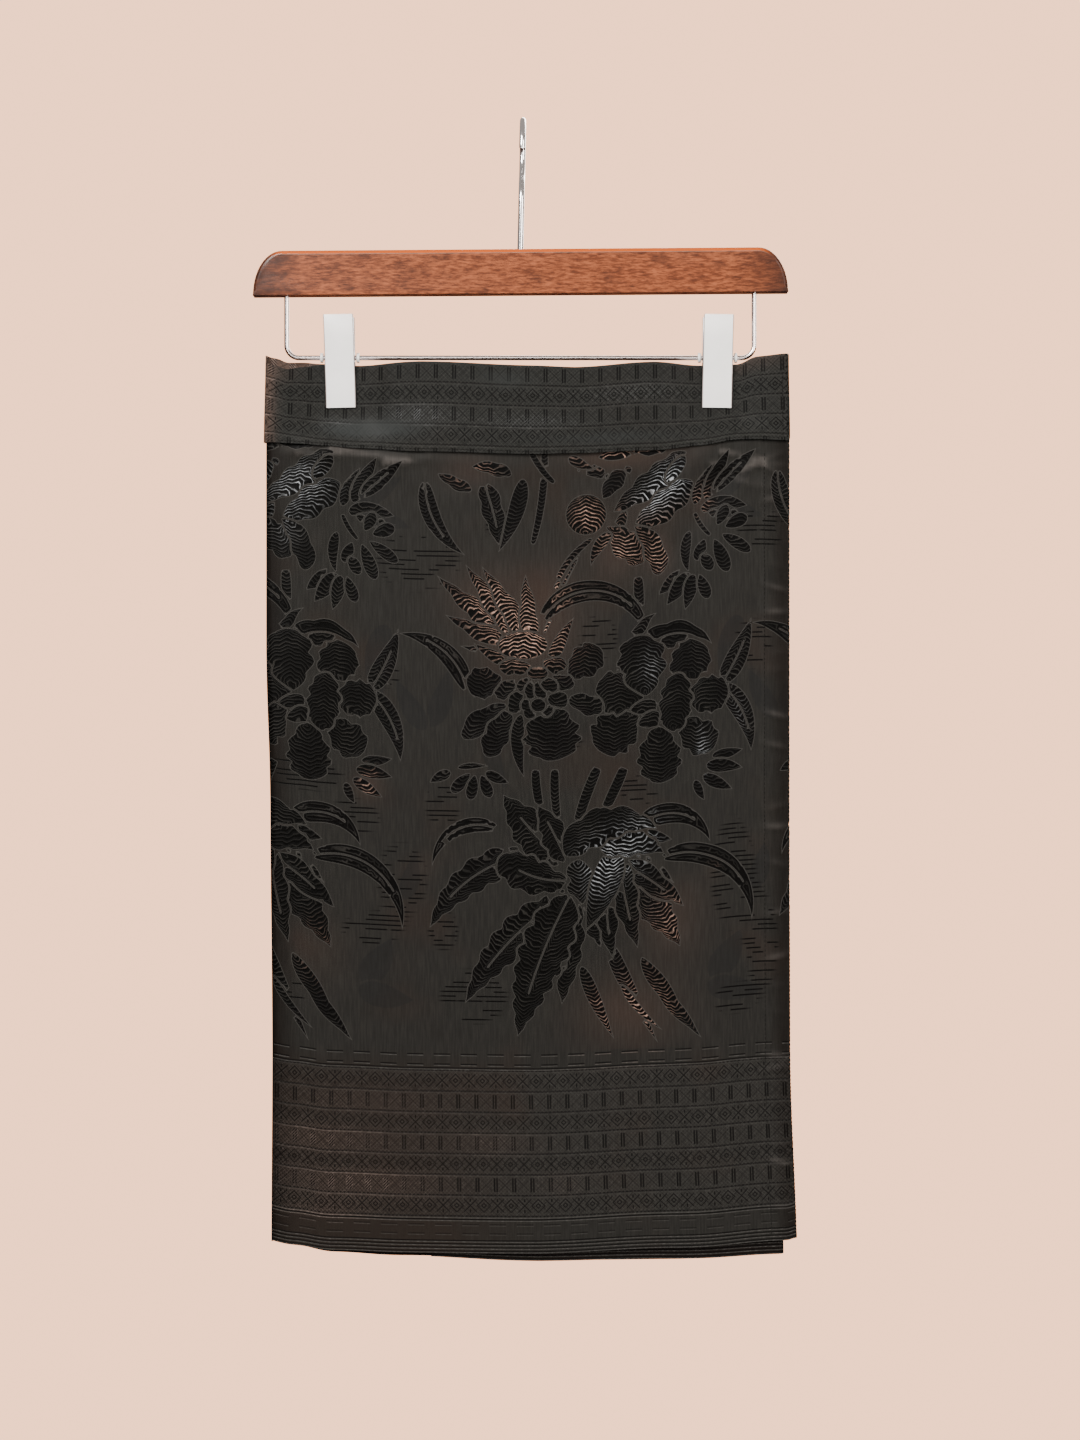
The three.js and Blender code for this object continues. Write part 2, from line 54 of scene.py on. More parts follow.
sight = bpy.data.cameras.new("sight")
sight.sensor_fit = "AUTO"
sight.sensor_width = 36
sight.lens = 77.9
camera = bpy.data.objects.new("camera", sight)
camera.location = (11.5 * mm, -2.1, -401.8 * mm)
camera.rotation_euler = (math.radians(90), 0, 0)
bpy.context.scene.collection.objects.link(camera)
bpy.context.scene.camera = camera


def soft_lamp(name, place, target, size, power, colour):
    """An area lamp that faces target."""
    lamp = bpy.data.lights.new(name, "AREA")
    lamp.shape = "RECTANGLE"
    lamp.size, lamp.size_y = size
    lamp.energy = power
    lamp.color = colour
    holder = bpy.data.objects.new(name, lamp)
    holder.location = place
    aim = Vector(target) - Vector(place)
    holder.rotation_euler = aim.to_track_quat("-Z", "Y").to_euler()
    bpy.context.scene.collection.objects.link(holder)


warm_white = (1.0, 0.94, 0.88)
soft_lamp("window_light", (-1.1, -2.0, 1.1), (0, 0, -0.35), (1.2, 1.4), 140, (1.0, 0.97, 0.93))
soft_lamp("fill_light", (1.7, -1.7, 0.2), (0, 0, -0.45), (1.0, 1.6), 66, warm_white)
soft_lamp("front_light", (0, -2.6, 0.03), (0, 0, -0.2), (1.7, 0.34), 14, (1.0, 0.98, 0.95))
soft_lamp("back_light", (0.6, 2.1, 0.6), (0, 0, -0.4), (1.4, 1.2), 50, warm_white)


class Strand:
    """A socket in a material's or the room's nodes. Arithmetic on it adds Math nodes."""

    def __init__(self, tree, socket):
        self.tree = tree
        self.socket = socket

    def add(self, kind, settings=None, inputs=None, output=0):
        """Adds a node of any kind: its settings first, then the values or links of its sockets."""
        node = self.tree.nodes.new(kind)
        for name, value in (settings or {}).items():
            setattr(node, name, value)
        for name, value in (inputs or {}).items():
            feed(node, name, value)
        return Strand(self.tree, node.outputs[output])

    def calculate(self, operation, *others):
        inputs = {0: self}
        inputs.update({i + 1: other for i, other in enumerate(others)})
        return self.add("ShaderNodeMath", {"operation": operation}, inputs)

    __add__ = __radd__ = partialmethod(calculate, "ADD")
    __mul__ = __rmul__ = partialmethod(calculate, "MULTIPLY")
    __sub__ = partialmethod(calculate, "SUBTRACT")
    __truediv__ = partialmethod(calculate, "DIVIDE")
    absolute = partialmethod(calculate, "ABSOLUTE")
    fraction = partialmethod(calculate, "FRACT")
    least = partialmethod(calculate, "MINIMUM")
    greatest = partialmethod(calculate, "MAXIMUM")

    def __rsub__(self, other):
        return self.calculate("MULTIPLY_ADD", -1.0, other)

    def part(self, axis):
        """One of the three numbers of a place."""
        return self.add("ShaderNodeSeparateXYZ", {}, {"Vector": self}, output=axis)

    def mark(self, name):
        """A value that a piece's points carry under a name."""
        return self.add("ShaderNodeAttribute", {"attribute_name": name}, {}, output=2)

    def rise(self, start, end):
        """0 below start and 1 above end, or the other way round where end is the lower."""
        settings = {"interpolation_type": "SMOOTHSTEP"}
        low, high, to_low, to_high = (start, end, 0.0, 1.0) if start < end else (end, start, 1.0, 0.0)
        inputs = {"Value": self, "From Min": low, "From Max": high, "To Min": to_low, "To Max": to_high}
        return self.add("ShaderNodeMapRange", settings, inputs)

    def wave(self, pitch):
        """A triangle wave from 0 to 1 and back once a pitch, lowest at 0."""
        return 1 - ((self / pitch).fraction() * 2 - 1).absolute()

    def from_middle(self, pitch):
        """How far a place is from the middle of its pitch."""
        return ((self / pitch).fraction() - 0.5).absolute() * pitch

    def near(self, place, half_width, blur):
        """1 within half_width of place, and 0 past half_width + blur."""
        return (self - place).absolute().rise(half_width + blur, half_width)

    def tint(self, first, second):
        """A colour from first to second as the value goes from 0 to 1."""
        first, second = (end if isinstance(end, Strand) else (*end, 1) for end in (first, second))
        settings = {"data_type": "RGBA", "clamp_factor": True}
        return self.add("ShaderNodeMix", settings, {0: self, 6: first, 7: second}, output=2)


def feed(node, socket, value):
    """A link for a value that changes over the surface, a plain number or colour otherwise."""
    if isinstance(value, Strand):
        value.tree.links.new(value.socket, node.inputs[socket])
    else:
        node.inputs[socket].default_value = value


room = bpy.data.worlds.new("warm_room")
room.use_nodes = True
room_nodes = room.node_tree.nodes
backdrop = Strand(room.node_tree, room_nodes["Background"].outputs[0])
feed(room_nodes["Background"], "Color", (1.0, 0.53, 0.32, 1))
feed(room_nodes["Background"], "Strength", 2.9)
upward = backdrop.add("ShaderNodeTexCoord", output="Generated").part(2)
above = upward.add("ShaderNodeMapRange", {}, {"Value": upward, "From Min": -0.06, "From Max": 0.30})
room_tone = above.tint((0.060, 0.026, 0.020), (0.46, 0.42, 0.39))
room_light = backdrop.add("ShaderNodeBackground", {}, {"Color": room_tone})
seen = backdrop.add("ShaderNodeLightPath", output="Is Camera Ray")
either = seen.add("ShaderNodeMixShader", {}, {0: seen, 1: room_light, 2: backdrop})
feed(room_nodes["World Output"], 0, either)
bpy.context.scene.world = room


def nothing_selected():
    if bpy.context.object and bpy.context.object.mode != "OBJECT":
        bpy.ops.object.mode_set(mode="OBJECT")
    bpy.ops.object.select_all(action="DESELECT")


nothing_selected()
bpy.ops.mesh.primitive_circle_add(vertices=96, radius=1.25, fill_type="NGON", location=(0, 0, -1.3))
floor = bpy.context.object
floor.name = "floor"


# ---------------------------------------------------------------- hook
# A chromed steel wire, bent to an open loop over a short neck, and pushed into the top of the
# bar. It is one wire from tip to seat, with both ends closed flat.

hook_wire = 4 * mm
hook_loop_radius = 20 * mm
hook_neck_radius = 20 * mm
hook_lean = math.radians(1.2)
hook_rise = 85 * mm
hook_tip = math.radians(-95)
hook_seat = 11 * mm
bar_centre_x = -math.sin(hook_lean) * hook_rise


def select_only(piece):
    nothing_selected()
    piece.select_set(True)
    bpy.context.view_layer.objects.active = piece


def new_piece(name, data):
    """A new object of the scene, the only one selected."""
    piece = bpy.data.objects.new(name, data)
    bpy.context.scene.collection.objects.link(piece)
    select_only(piece)
    return piece


def wire_along(name, points, diameter, sides=20):
    """A round wire along points, as a mesh with closed ends."""
    curve = bpy.data.curves.new(name, "CURVE")
    curve.dimensions = "3D"
    curve.bevel_depth = diameter / 2
    curve.bevel_resolution = sides // 4
    curve.use_fill_caps = True
    spline = curve.splines.new("POLY")
    spline.points.add(len(points) - 1)
    for point, place in zip(spline.points, points):
        point.co = (*place, 1)
    new_piece(name, curve)
    bpy.ops.object.convert(target="MESH")
    bpy.ops.object.mode_set(mode="EDIT")
    bpy.ops.mesh.select_all(action="SELECT")
    bpy.ops.mesh.remove_doubles(threshold=1e-6)
    bpy.ops.mesh.normals_make_consistent(inside=False)
    bpy.ops.object.mode_set(mode="OBJECT")
    bpy.ops.object.shade_smooth_by_angle(angle=math.radians(40))
    return bpy.context.object


def hook_path():
    """From the tip at the front, over the crown and down the back, then by the neck to the shank."""
    centre_z = -hook_loop_radius + hook_wire / 2
    neck_angle = math.pi - math.asin(hook_neck_radius / (hook_loop_radius + hook_neck_radius))
    neck_z = centre_z + (hook_loop_radius + hook_neck_radius) * math.cos(neck_angle)
    points = []
    for i in range(61):
        angle = hook_tip + (neck_angle - hook_tip) * i / 60
        y = hook_loop_radius * math.sin(angle)
        points.append((0, y, centre_z + hook_loop_radius * math.cos(angle)))
    for i in range(1, 21):
        angle = neck_angle - math.pi + (math.pi / 2 - neck_angle) * i / 20
        y = hook_neck_radius + hook_neck_radius * math.sin(angle)
        points.append((0, y, neck_z + hook_neck_radius * math.cos(angle)))
    for share in (0.3, 0.6, 1):
        points.append((0, 0, neck_z + (-hook_rise - hook_seat - neck_z) * share))
    lean = Matrix.Rotation(hook_lean, 3, "Y")
    return [lean @ Vector(point) for point in points]


def finish(name):
    """A new material, its Principled node and its object coordinates."""
    material = bpy.data.materials.new(name)
    material.use_nodes = True
    tree = material.node_tree
    surface = tree.nodes["Principled BSDF"]
    place = Strand(tree, surface.outputs[0]).add("ShaderNodeTexCoord", output="Object")
    return material, surface, place


def speckle(place, scale, detail=2.0, stretch=(1, 1, 1), rough=0.5):
    """Noise from 0 to 1; scale is in lumps a metre, and stretch makes it longer along an axis."""
    spread = tuple(1 / s for s in stretch)
    stretched = place.add("ShaderNodeMapping", {}, {"Vector": place, "Scale": spread})
    inputs = {"Vector": stretched, "Scale": scale, "Detail": detail, "Roughness": rough}
    return place.add("ShaderNodeTexNoise", {}, inputs)


def bump(place, height, depth):
    """A normal for a height from 0 to 1 that stands depth metres high."""
    return place.add("ShaderNodeBump", {}, {"Height": height, "Strength": 1.0, "Distance": depth})


def polished_chrome(name, colour, roughness):
    """Plated wire: bright metal with faint rubbing marks along it."""
    material, surface, place = finish(name)
    rubbed = speckle(place, 900, 3, (1, 1, 4))
    feed(surface, "Base Color", rubbed.tint([c * 0.93 for c in colour], colour))
    feed(surface, "Metallic", 1.0)
    feed(surface, "Roughness", rubbed * 0.08 + roughness)
    feed(surface, "Normal", bump(place, rubbed, 0.01 * mm))
    return material


def dress(piece, material, slot, *nodes):
    """Gives a finished piece its material and the nodes that it stands for; its slot is not used."""
    piece.data.materials.clear()
    piece.data.materials.append(material)
    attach(piece, "root")
    if nodes:
        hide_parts(*nodes)


chrome = polished_chrome("chrome", (0.80, 0.78, 0.78), 0.1)
hook = wire_along("hook", hook_path(), hook_wire)
dress(hook, chrome, "chrome", "hanger_hook")


# ---------------------------------------------------------------- wooden bar
# A straight board of red-brown hardwood with rounded shoulders, planed and routed, stained and
# lacquered to a gloss. The routed edge shows as a thin lighter line: bare wood with a painted highlight.

bar_length = 360 * mm
bar_height = 30 * mm
bar_depth = 14 * mm
bar_shoulder = 20 * mm
bar_edge = 3 * mm
bar_tilt = math.radians(-0.43)
bar_top = -hook_rise
wood_shade = (0.092, 0.0245, 0.0100)
wood_light = (0.255, 0.072, 0.0280)
wood_dark = (0.026, 0.0095, 0.0062)
# the routed edge's bare wood, which also stands in for its highlight, and the pale painted highlight on
# its arris
routed_tone = (0.38, 0.072, 0.010)
edge_highlight_tone = (0.34, 0.24, 0.19)


def edges_where(piece, wanted):
    """Selects the edges for which wanted(middle, direction) holds, in edit mode's edge select."""
    bpy.ops.object.mode_set(mode="EDIT")
    bpy.ops.mesh.select_mode(type="EDGE")
    bpy.ops.mesh.select_all(action="DESELECT")
    bpy.ops.object.mode_set(mode="OBJECT")
    for edge in piece.data.edges:
        a, b = (piece.data.vertices[i].co for i in edge.vertices)
        edge.select = bool(wanted((a + b) / 2, (b - a).normalized()))
    bpy.ops.object.mode_set(mode="EDIT")


def lay_in_mesh(piece, turn_y=0.0, shift=(0, 0, 0)):
    """Puts a piece's place into its mesh, so that the object stays at the origin."""
    select_only(piece)
    bpy.ops.object.transform_apply(location=True, rotation=True, scale=True)
    piece.data.transform(Matrix.Translation(shift) @ Matrix.Rotation(turn_y, 4, "Y"))
    piece.data.update()


nothing_selected()
bpy.ops.mesh.primitive_cube_add(size=1)
bar = bpy.context.object
bar.name = "bar"
bar.scale = (bar_length, bar_depth, bar_shoulder)
bpy.ops.object.transform_apply(scale=True)
edges_where(bar, lambda m, d: abs(d.y) > 0.9 and m.z > 0)
bpy.ops.mesh.bevel(offset=bar_shoulder * 0.985, segments=14, affect="EDGES")
bpy.ops.mesh.select_all(action="SELECT")
bpy.ops.transform.resize(value=(1, 1, bar_height / bar_shoulder))
bpy.ops.object.mode_set(mode="OBJECT")
bar_foot = -bar_height / 2 + 0.5 * mm
edges_where(bar, lambda m, d: abs(abs(m.y) - bar_depth / 2) < 1e-6 and m.z > bar_foot)
bpy.ops.mesh.bevel(offset=bar_edge, segments=5, affect="EDGES")
bpy.ops.mesh.select_all(action="SELECT")
bpy.ops.mesh.normals_make_consistent(inside=False)
bpy.ops.object.mode_set(mode="OBJECT")
# the routed edge's points: they carry its bare wood and its painted highlight
rubbed = bar.data.attributes.new("rubbed", "FLOAT", "POINT")
for vertex in bar.data.vertices:
    routed = abs(vertex.co.y) < bar_depth / 2 - 0.01 * mm and vertex.co.z > bar_foot
    rubbed.data[vertex.index].value = 1.0 if routed else 0.0
bpy.ops.object.shade_smooth_by_angle(angle=math.radians(35))
lay_in_mesh(bar, shift=(0, 0, -bar_height / 2))
lay_in_mesh(bar, bar_tilt, (bar_centre_x, 0, -hook_rise))


def lacquered_wood():
    """Red-brown hardwood: long grain, darker pores and mottling, under a clear gloss."""
    material, surface, place = finish("lacquered_wood")
    away = (place.part(0) - bar_centre_x).absolute()
    deep = place.part(1).absolute()
    height = place.part(2)
    grain = speckle(place, 760, 5, (5, 1, 1), 0.62)
    pores = speckle(place, 1900, 2, (7, 1, 1)).rise(0.57, 0.67)
    mottle = speckle(place, 105, 4, (1.9, 1, 1), 0.64)
    stained = grain.rise(0.34, 0.66).tint(wood_shade, wood_light)
    stained = (mottle.rise(0.45, 0.70) * 0.64).tint(stained, wood_dark)
    stained = (away.rise(0.140, 0.182) * (mottle * 0.6 + 0.55)).tint(stained, wood_dark)
    stained = (pores * 0.5).tint(stained, wood_dark)

    # the routed edge: bare wood along the top of the front, brightened there as a painted highlight,
    # and a pale painted highlight along its arris
    routed = place.mark("rubbed")
    along_top = height.rise(bar_top - 9 * mm, bar_top - 3 * mm)
    before_end = away.rise(0.171, 0.159)
    on_front = deep.rise(bar_depth / 2 - bar_edge, bar_depth / 2 - bar_edge * 0.8)
    bare_and_lit = routed.rise(0.45, 0.7) * (along_top * 0.8 + 0.2) * before_end * on_front
    stained = bare_and_lit.tint(stained, routed_tone)
    edge_highlight = routed.near(0.25, 0.08, 0.1) * along_top * before_end
    stained = (edge_highlight * 0.6).tint(stained, edge_highlight_tone)
    feed(surface, "Base Color", stained)
    feed(surface, "Roughness", grain * 0.12 + 0.36)
    feed(surface, "Specular IOR Level", 0.1)
    feed(surface, "Normal", bump(place, grain, 0.06 * mm))

    # the lacquer is thickest under the top edge, towards each shoulder
    under_edge = height.rise(bar_top - 15 * mm, bar_top - 5 * mm)
    feed(surface, "Coat Weight", under_edge * away.near(0.142, 0.03, 0.03) * 0.3 + 0.03)
    feed(surface, "Coat Roughness", 0.1)
    return material


dress(bar, lacquered_wood(), "wood", "hanger_bar")


# ---------------------------------------------------------------- rail under the bar
# A thinner chromed wire, bent to a shallow U with round corners. Its two ends are pushed up into
# the underside of the bar, and the clips and their collars hang on its level run.

rail_wire = 3.2 * mm
rail_half_span = 157.5 * mm
rail_drop = 42.8 * mm
rail_bend = 8.5 * mm
rail_z = -hook_rise - bar_height - rail_drop


def rail_path():
    points = [(-rail_half_span, 0, 7 * mm), (-rail_half_span, 0, -8 * mm)]
    for side in (-1, 1):
        corner = []
        for i in range(13):
            angle = math.pi / 2 * i / 12
            x = rail_half_span - rail_bend * (1 - math.cos(angle))
            z = -rail_drop + rail_bend * (1 - math.sin(angle))
            corner.append((side * x, 0, z))
        points += corner if side < 0 else corner[::-1]
    points += [(rail_half_span, 0, -8 * mm), (rail_half_span, 0, 7 * mm)]
    return [Vector(p) + Vector((bar_centre_x, 0, -hook_rise - bar_height)) for p in points]


rail = wire_along("rail", rail_path(), rail_wire)
dress(rail, polished_chrome("rail_chrome", (0.82, 0.74, 0.72), 0.13), "chrome", "hanger_wire")


# ---------------------------------------------------------------- clips and collars
# Each clip is two bent steel jaws on a coil spring, with white plastic collars on the rail to
# keep it in place. The jaws are stamped plate with a satin white-metal finish.
# A clip: its name, its place across from the bar's middle, and its tilt.

clips = (("left", -121.5 * mm, math.radians(-1.5)), ("right", 132.9 * mm, math.radians(1.0)))
spring_wire = 1.0 * mm
spring_radius = 3.0 * mm
spring_half = 5.4 * mm
spring_turns = 9
plate_edge = 0.25 * mm
collar_edge = 0.4 * mm


def satin_plate():
    """White-nickel plate, with a dark reflection painted as a thin line down each side of the stamping.
    """
    material, surface, place = finish("satin_plate")
    brushed = speckle(place, 1400, 3, (1, 1, 9))
    worn = speckle(place, 160, 3)
    plate = worn.tint((0.92, 0.91, 0.89), (0.98, 0.97, 0.96))
    # a painted dark reflection along each bent side of the plate
    painted_side_reflection = place.mark("across").absolute().rise(0.935, 0.965) * 0.85
    feed(surface, "Base Color", painted_side_reflection.tint(plate, (0.085, 0.040, 0.036)))
    feed(surface, "Metallic", 0.12)
    feed(surface, "Roughness", brushed * 0.1 + 0.26)
    feed(surface, "Normal", bump(place, brushed, 0.02 * mm))
    return material


def moulded_plastic():
    material, surface, place = finish("white_plastic")
    fine = speckle(place, 700, 2)
    feed(surface, "Base Color", fine.tint((0.80, 0.78, 0.75), (0.88, 0.87, 0.84)))
    feed(surface, "Roughness", fine * 0.1 + 0.4)
    feed(surface, "Normal", bump(place, fine, 0.02 * mm))
    return material


def softened(node_name, name, edge):
    """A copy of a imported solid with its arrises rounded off."""
    piece = new_piece(name, bpy.data.objects[node_name].data.copy())
    bpy.ops.object.mode_set(mode="EDIT")
    bpy.ops.mesh.select_all(action="SELECT")
    bpy.ops.mesh.remove_doubles(threshold=0.01 * mm)
    bpy.ops.mesh.dissolve_limited(angle_limit=math.radians(2))
    bpy.ops.mesh.normals_make_consistent(inside=False)
    bpy.ops.object.mode_set(mode="OBJECT")
    rounding = piece.modifiers.new("arrises", "BEVEL")
    rounding.width = edge
    rounding.segments = 2
    rounding.limit_method = "ANGLE"
    rounding.angle_limit = math.radians(40)
    bpy.ops.object.modifier_apply(modifier=rounding.name)
    bpy.ops.object.shade_smooth_by_angle(angle=math.radians(35))
    return piece


def spring_path(clip_x, clip_tilt):
    """A coil round the rail, with a leg up inside the back jaw and one inside the front jaw."""
    points = [(-spring_half, 5.0 * mm, 11 * mm), (-spring_half, 4.4 * mm, 6 * mm)]
    count = spring_turns * 16
    for i in range(count + 1):
        angle = 2 * math.pi * (spring_turns - 0.5) * i / count
        x = -spring_half + 2 * spring_half * i / count
        points.append((x, spring_radius * math.cos(angle), spring_radius * math.sin(angle)))
    points += [(spring_half, -4.4 * mm, 6 * mm), (spring_half, -5.0 * mm, 11 * mm)]
    lean = Matrix.Rotation(clip_tilt, 3, "Y")
    return [lean @ Vector(p) + Vector((bar_centre_x + clip_x, 0, rail_z)) for p in points]


plate_metal = satin_plate()
collar_plastic = moulded_plastic()
for side, clip_x, clip_tilt in clips:
    clip_place = Vector((bar_centre_x + clip_x, 0, rail_z))
    upright = Matrix.Rotation(-clip_tilt, 3, "Y")
    for jaw in ("front_jaw", "back_jaw"):
        stamped = softened(f"clip_{side}_{jaw}", f"{side}_{jaw}_plate", plate_edge)
        off_centre = [(upright @ (vertex.co - clip_place)).x for vertex in stamped.data.vertices]
        share = np.array(off_centre) / max(np.abs(off_centre))
        stamped.data.attributes.new("across", "FLOAT", "POINT").data.foreach_set("value", share)
        dress(stamped, plate_metal, "clip_metal", f"clip_{side}_{jaw}")
    coil = wire_along(f"{side}_clip_coil", spring_path(clip_x, clip_tilt), spring_wire, sides=8)
    dress(coil, chrome, "clip_metal", f"clip_{side}_spring")
    for end in ("outer", "inner"):
        ring = softened(f"collar_{side}_{end}", f"{side}_{end}_collar", collar_edge)
        dress(ring, collar_plastic, "collar_plastic", f"collar_{side}_{end}")


# ---------------------------------------------------------------- how the cloth hangs
# The wrap cloth and its band are one tube that the clips pinch flat at two places. Every stretch
# lies on the same plan section: the left fold, the front, the right fold and the under layer.

def table(columns, *rows):
    """A short table of millimetres, as one array of metres a column."""
    return {name: np.array([row[i] for row in rows]) * mm for i, name in enumerate(columns.split())}


side_edges = table(
    "z left right",
    (-770, -167.4, 185.4), (-624, -166.7, 180.6), (-456, -168.1, 180.1), (-355, -170.8, 180.1),
    (-215, -170.8, 180.1), (-155, -169.6, 179.2),
)
band_edges = table(
    "x top back_top bottom",
    (-174, -159.1, -155.2, -214.8), (-165, -163.5, -157.4, -215.2), (-157, -166.3, -160.4, -215.8),
    (-148, -164.6, -160.6, -216.3), (-134, -162.6, -161.8, -217.5), (-108, -163.4, -163.4, -219.3),
    (-67, -161.2, -161.6, -221.6), (8, -164.2, -163.8, -223.5), (37, -165.2, -164.2, -222.8),
    (90, -161.2, -161.6, -220.6), (120, -163.2, -163.4, -217.4), (146, -162.4, -162.4, -213.4),
    (160, -157.3, -157.6, -213.1), (181, -155.4, -155.6, -213.9),
)
hem_edges = table(
    "x front back under",
    (-170, -751.4, -752.6, -752.6), (-153, -754.3, -756.2, -756.2), (-127, -757.6, -761.0, -759.6),
    (-81, -759.2, -763.9, -761.8), (13, -759.7, -767.3, -765.3), (108, -756.0, -766.0, -764.0),
    (179, -751.5, -761.2, -761.2), (187, -749.4, -760.4, -760.4),
)
# soft vertical folds: depth is positive where the cloth stands out from the body
front_folds = table(
    "top_x hem_x half_width top_depth hem_depth",
    (-146, -150, 26, 2.2, 1.0), (-108, -96, 30, -1.8, -1.2), (-20, -8, 60, 2.0, 1.6),
    (104, 62, 32, -1.8, -1.4), (158, 128, 26, 1.6, 1.8),
)
back_folds = table(
    "top_x hem_x half_width top_depth hem_depth",
    (-128, -112, 34, -1.4, -1.2), (-30, -52, 56, 2.0, 1.8), (112, 78, 36, -1.6, -1.4),
)

side_depth = 5 * mm
crown = 3.5 * mm
half_width = 175 * mm
clip_reach = 11 * mm
clips_end = -192.5 * mm
waist_z = -215 * mm
cloth_drop = 540 * mm
hem_guess = -700 * mm
wrap_height = 536.5 * mm
band_height = 60 * mm
tuck = 8 * mm
turning = 17 * mm
back_inset = 8 * mm
under_end = -60 * mm
# the three stretches, from the left fold: the front to its free edge, and the back to the crown
# of the right fold, where the under layer starts
front_width = 354 * mm
back_width = 350 * mm
under_width = 238 * mm
fold_arc = math.pi / 2 * side_depth
fold_gap = 0.15 * mm


def mix(a, b, share):
    """From a to b as share goes from 0 to 1."""
    return a + (b - a) * share


def ease(value, start, end):
    """0 up to start and 1 from end, with a smooth step between."""
    t = np.clip((value - start) / (end - start), 0, 1)
    return t * t * t * (t * (6 * t - 15) + 10)


def read(rows, key, at, column):
    """Reads a table between its rows, half straight and half eased."""
    places = rows[key]
    at = np.clip(at, places[0], places[-1])
    i = np.clip(np.searchsorted(places, at, side="right") - 1, 0, len(places) - 2)
    share = (at - places[i]) / (places[i + 1] - places[i])
    return mix(rows[column][i], rows[column][i + 1], 0.5 * ease(share, 0, 1) + 0.5 * share)


def pinch(x, z, across, down):
    """1 where a clip holds the layers together, and 0 well away from both clips."""
    held = 0 * x
    for _, clip_x, _ in clips:
        away = np.abs(x - clip_x)
        held = np.maximum(held, 1 - ease(away, clip_reach, clip_reach + across))
    return held * (1 - ease(-z, -clips_end, -clips_end + down))


def room_pinch(x, z):
    """How far the clips close the room between front and back."""
    return pinch(x, z, 34 * mm, 30 * mm)


def fold_depth(folds, x, z):
    """How far the soft folds stand out: none at the sides or at the clips."""
    share = np.clip((waist_z - z) / cloth_drop, 0, 1)
    depth = 0 * x
    for i in range(len(folds["top_x"])):
        middle = mix(folds["top_x"][i], folds["hem_x"][i], share)
        height = mix(folds["top_depth"][i], folds["hem_depth"][i], share)
        depth = depth + height * np.exp(-((x - middle) / folds["half_width"][i]) ** 2)
    side = 1 - ease(np.abs(x - 5 * mm), 0.8 * half_width, half_width - 3 * mm)
    return depth * side * (1 - room_pinch(x, z))


def room_depth(x, z):
    """Half the room between front and back, a little more at the middle than at the sides."""
    open_depth = side_depth + crown * np.maximum(0, 1 - (x / half_width) ** 2)
    return mix(open_depth, 0.1 * mm, room_pinch(x, z))


# small creases of the front: a line from one end to the other, how wide and how high each is
front_creases = table(
    "x z to_x to_z width height",
    (-126, -219, -76, -227, 4.0, 1.3), (-132, -226, -160, -262, 8.0, 1.5),
    (-150, -232, -168, -290, 7.0, -1.0), (136, -221, 160, -227, 3.2, 1.1),
    (150, -233, 174, -222, 3.4, 1.2), (146, -240, 170, -246, 4.0, 0.9), (128, -229, 146, -233, 2.6, 1.0),
    (160, -228, 176, -238, 2.8, 1.0), (-150, -222, -122, -224, 2.6, 0.9),
    (-90, -229, -60, -226, 3.0, 0.9),
    (124, -224, 72, -282, 9.0, 1.9), (140, -238, 92, -300, 8.0, -1.3),
    (100, -224, 40, -262, 11.0, 1.1), (-92, -224, -48, -252, 10.0, 0.9),
    (-60, -224, 20, -236, 7.0, 0.8), (-40, -262, -10, -330, 14.0, 0.8),
    (60, -470, 96, -560, 18.0, 0.9), (-70, -420, -90, -540, 20.0, 0.9),
    (-20, -560, 30, -640, 20.0, -0.7), (112, -620, 128, -740, 16.0, 0.8),
    (-140, -600, -120, -745, 16.0, 0.8),
)


def crease_depth(creases, x, z):
    """How far the creases stand out, each fading to half its height at its far end."""
    depth = 0 * x
    for i in range(len(creases["x"])):
        start_x, start_z = creases["x"][i], creases["z"][i]
        run_x, run_z = creases["to_x"][i] - start_x, creases["to_z"][i] - start_z
        share = ((x - start_x) * run_x + (z - start_z) * run_z) / (run_x ** 2 + run_z ** 2)
        off_x = x - start_x - np.clip(share, 0, 1) * run_x
        off_z = z - start_z - np.clip(share, 0, 1) * run_z
        away = np.hypot(off_x, off_z) / creases["width"][i]
        depth = depth + creases["height"][i] * np.exp(-away ** 2) * (1 - 0.5 * np.clip(share, 0, 1))
    return depth


def front_y(x, z):
    return -room_depth(x, z) - fold_depth(front_folds, x, z)


def back_y(x, z):
    return room_depth(x, z) + fold_depth(back_folds, x, z)


def under_y(x, z):
    """The under layer hangs close behind the front, and closer still where a clip holds it."""
    return front_y(x, z) + mix(3.6 * mm, 1.7 * mm, pinch(x, z, 18 * mm, 13 * mm))


def left_at(z):
    return read(side_edges, "z", z, "left")


def right_at(z):
    return read(side_edges, "z", z, "right")


# Cloth coordinates run across (u, from the left fold) and up (v, from the hem). The right edge
# is at front_width on every row, because the cloth is cut straight.

def from_left(u, z, y_of, sign, flat_end, far_x):
    """The quarter turn at the left fold, and the flat run from it, which reaches far_x at flat_end."""
    angle = np.clip(u / fold_arc, 0, 1) * math.pi / 2
    start = left_at(z) + side_depth
    x = left_at(z) + side_depth * (1 - np.cos(angle))
    y = mix(sign * fold_gap, y_of(start, z), np.sin(angle))
    share = np.clip((u - fold_arc) / (flat_end - fold_arc), 0, 1)
    flat = u > fold_arc
    x = np.where(flat, mix(start, far_x, share), x)
    return x, np.where(flat, y_of(x, z), y)


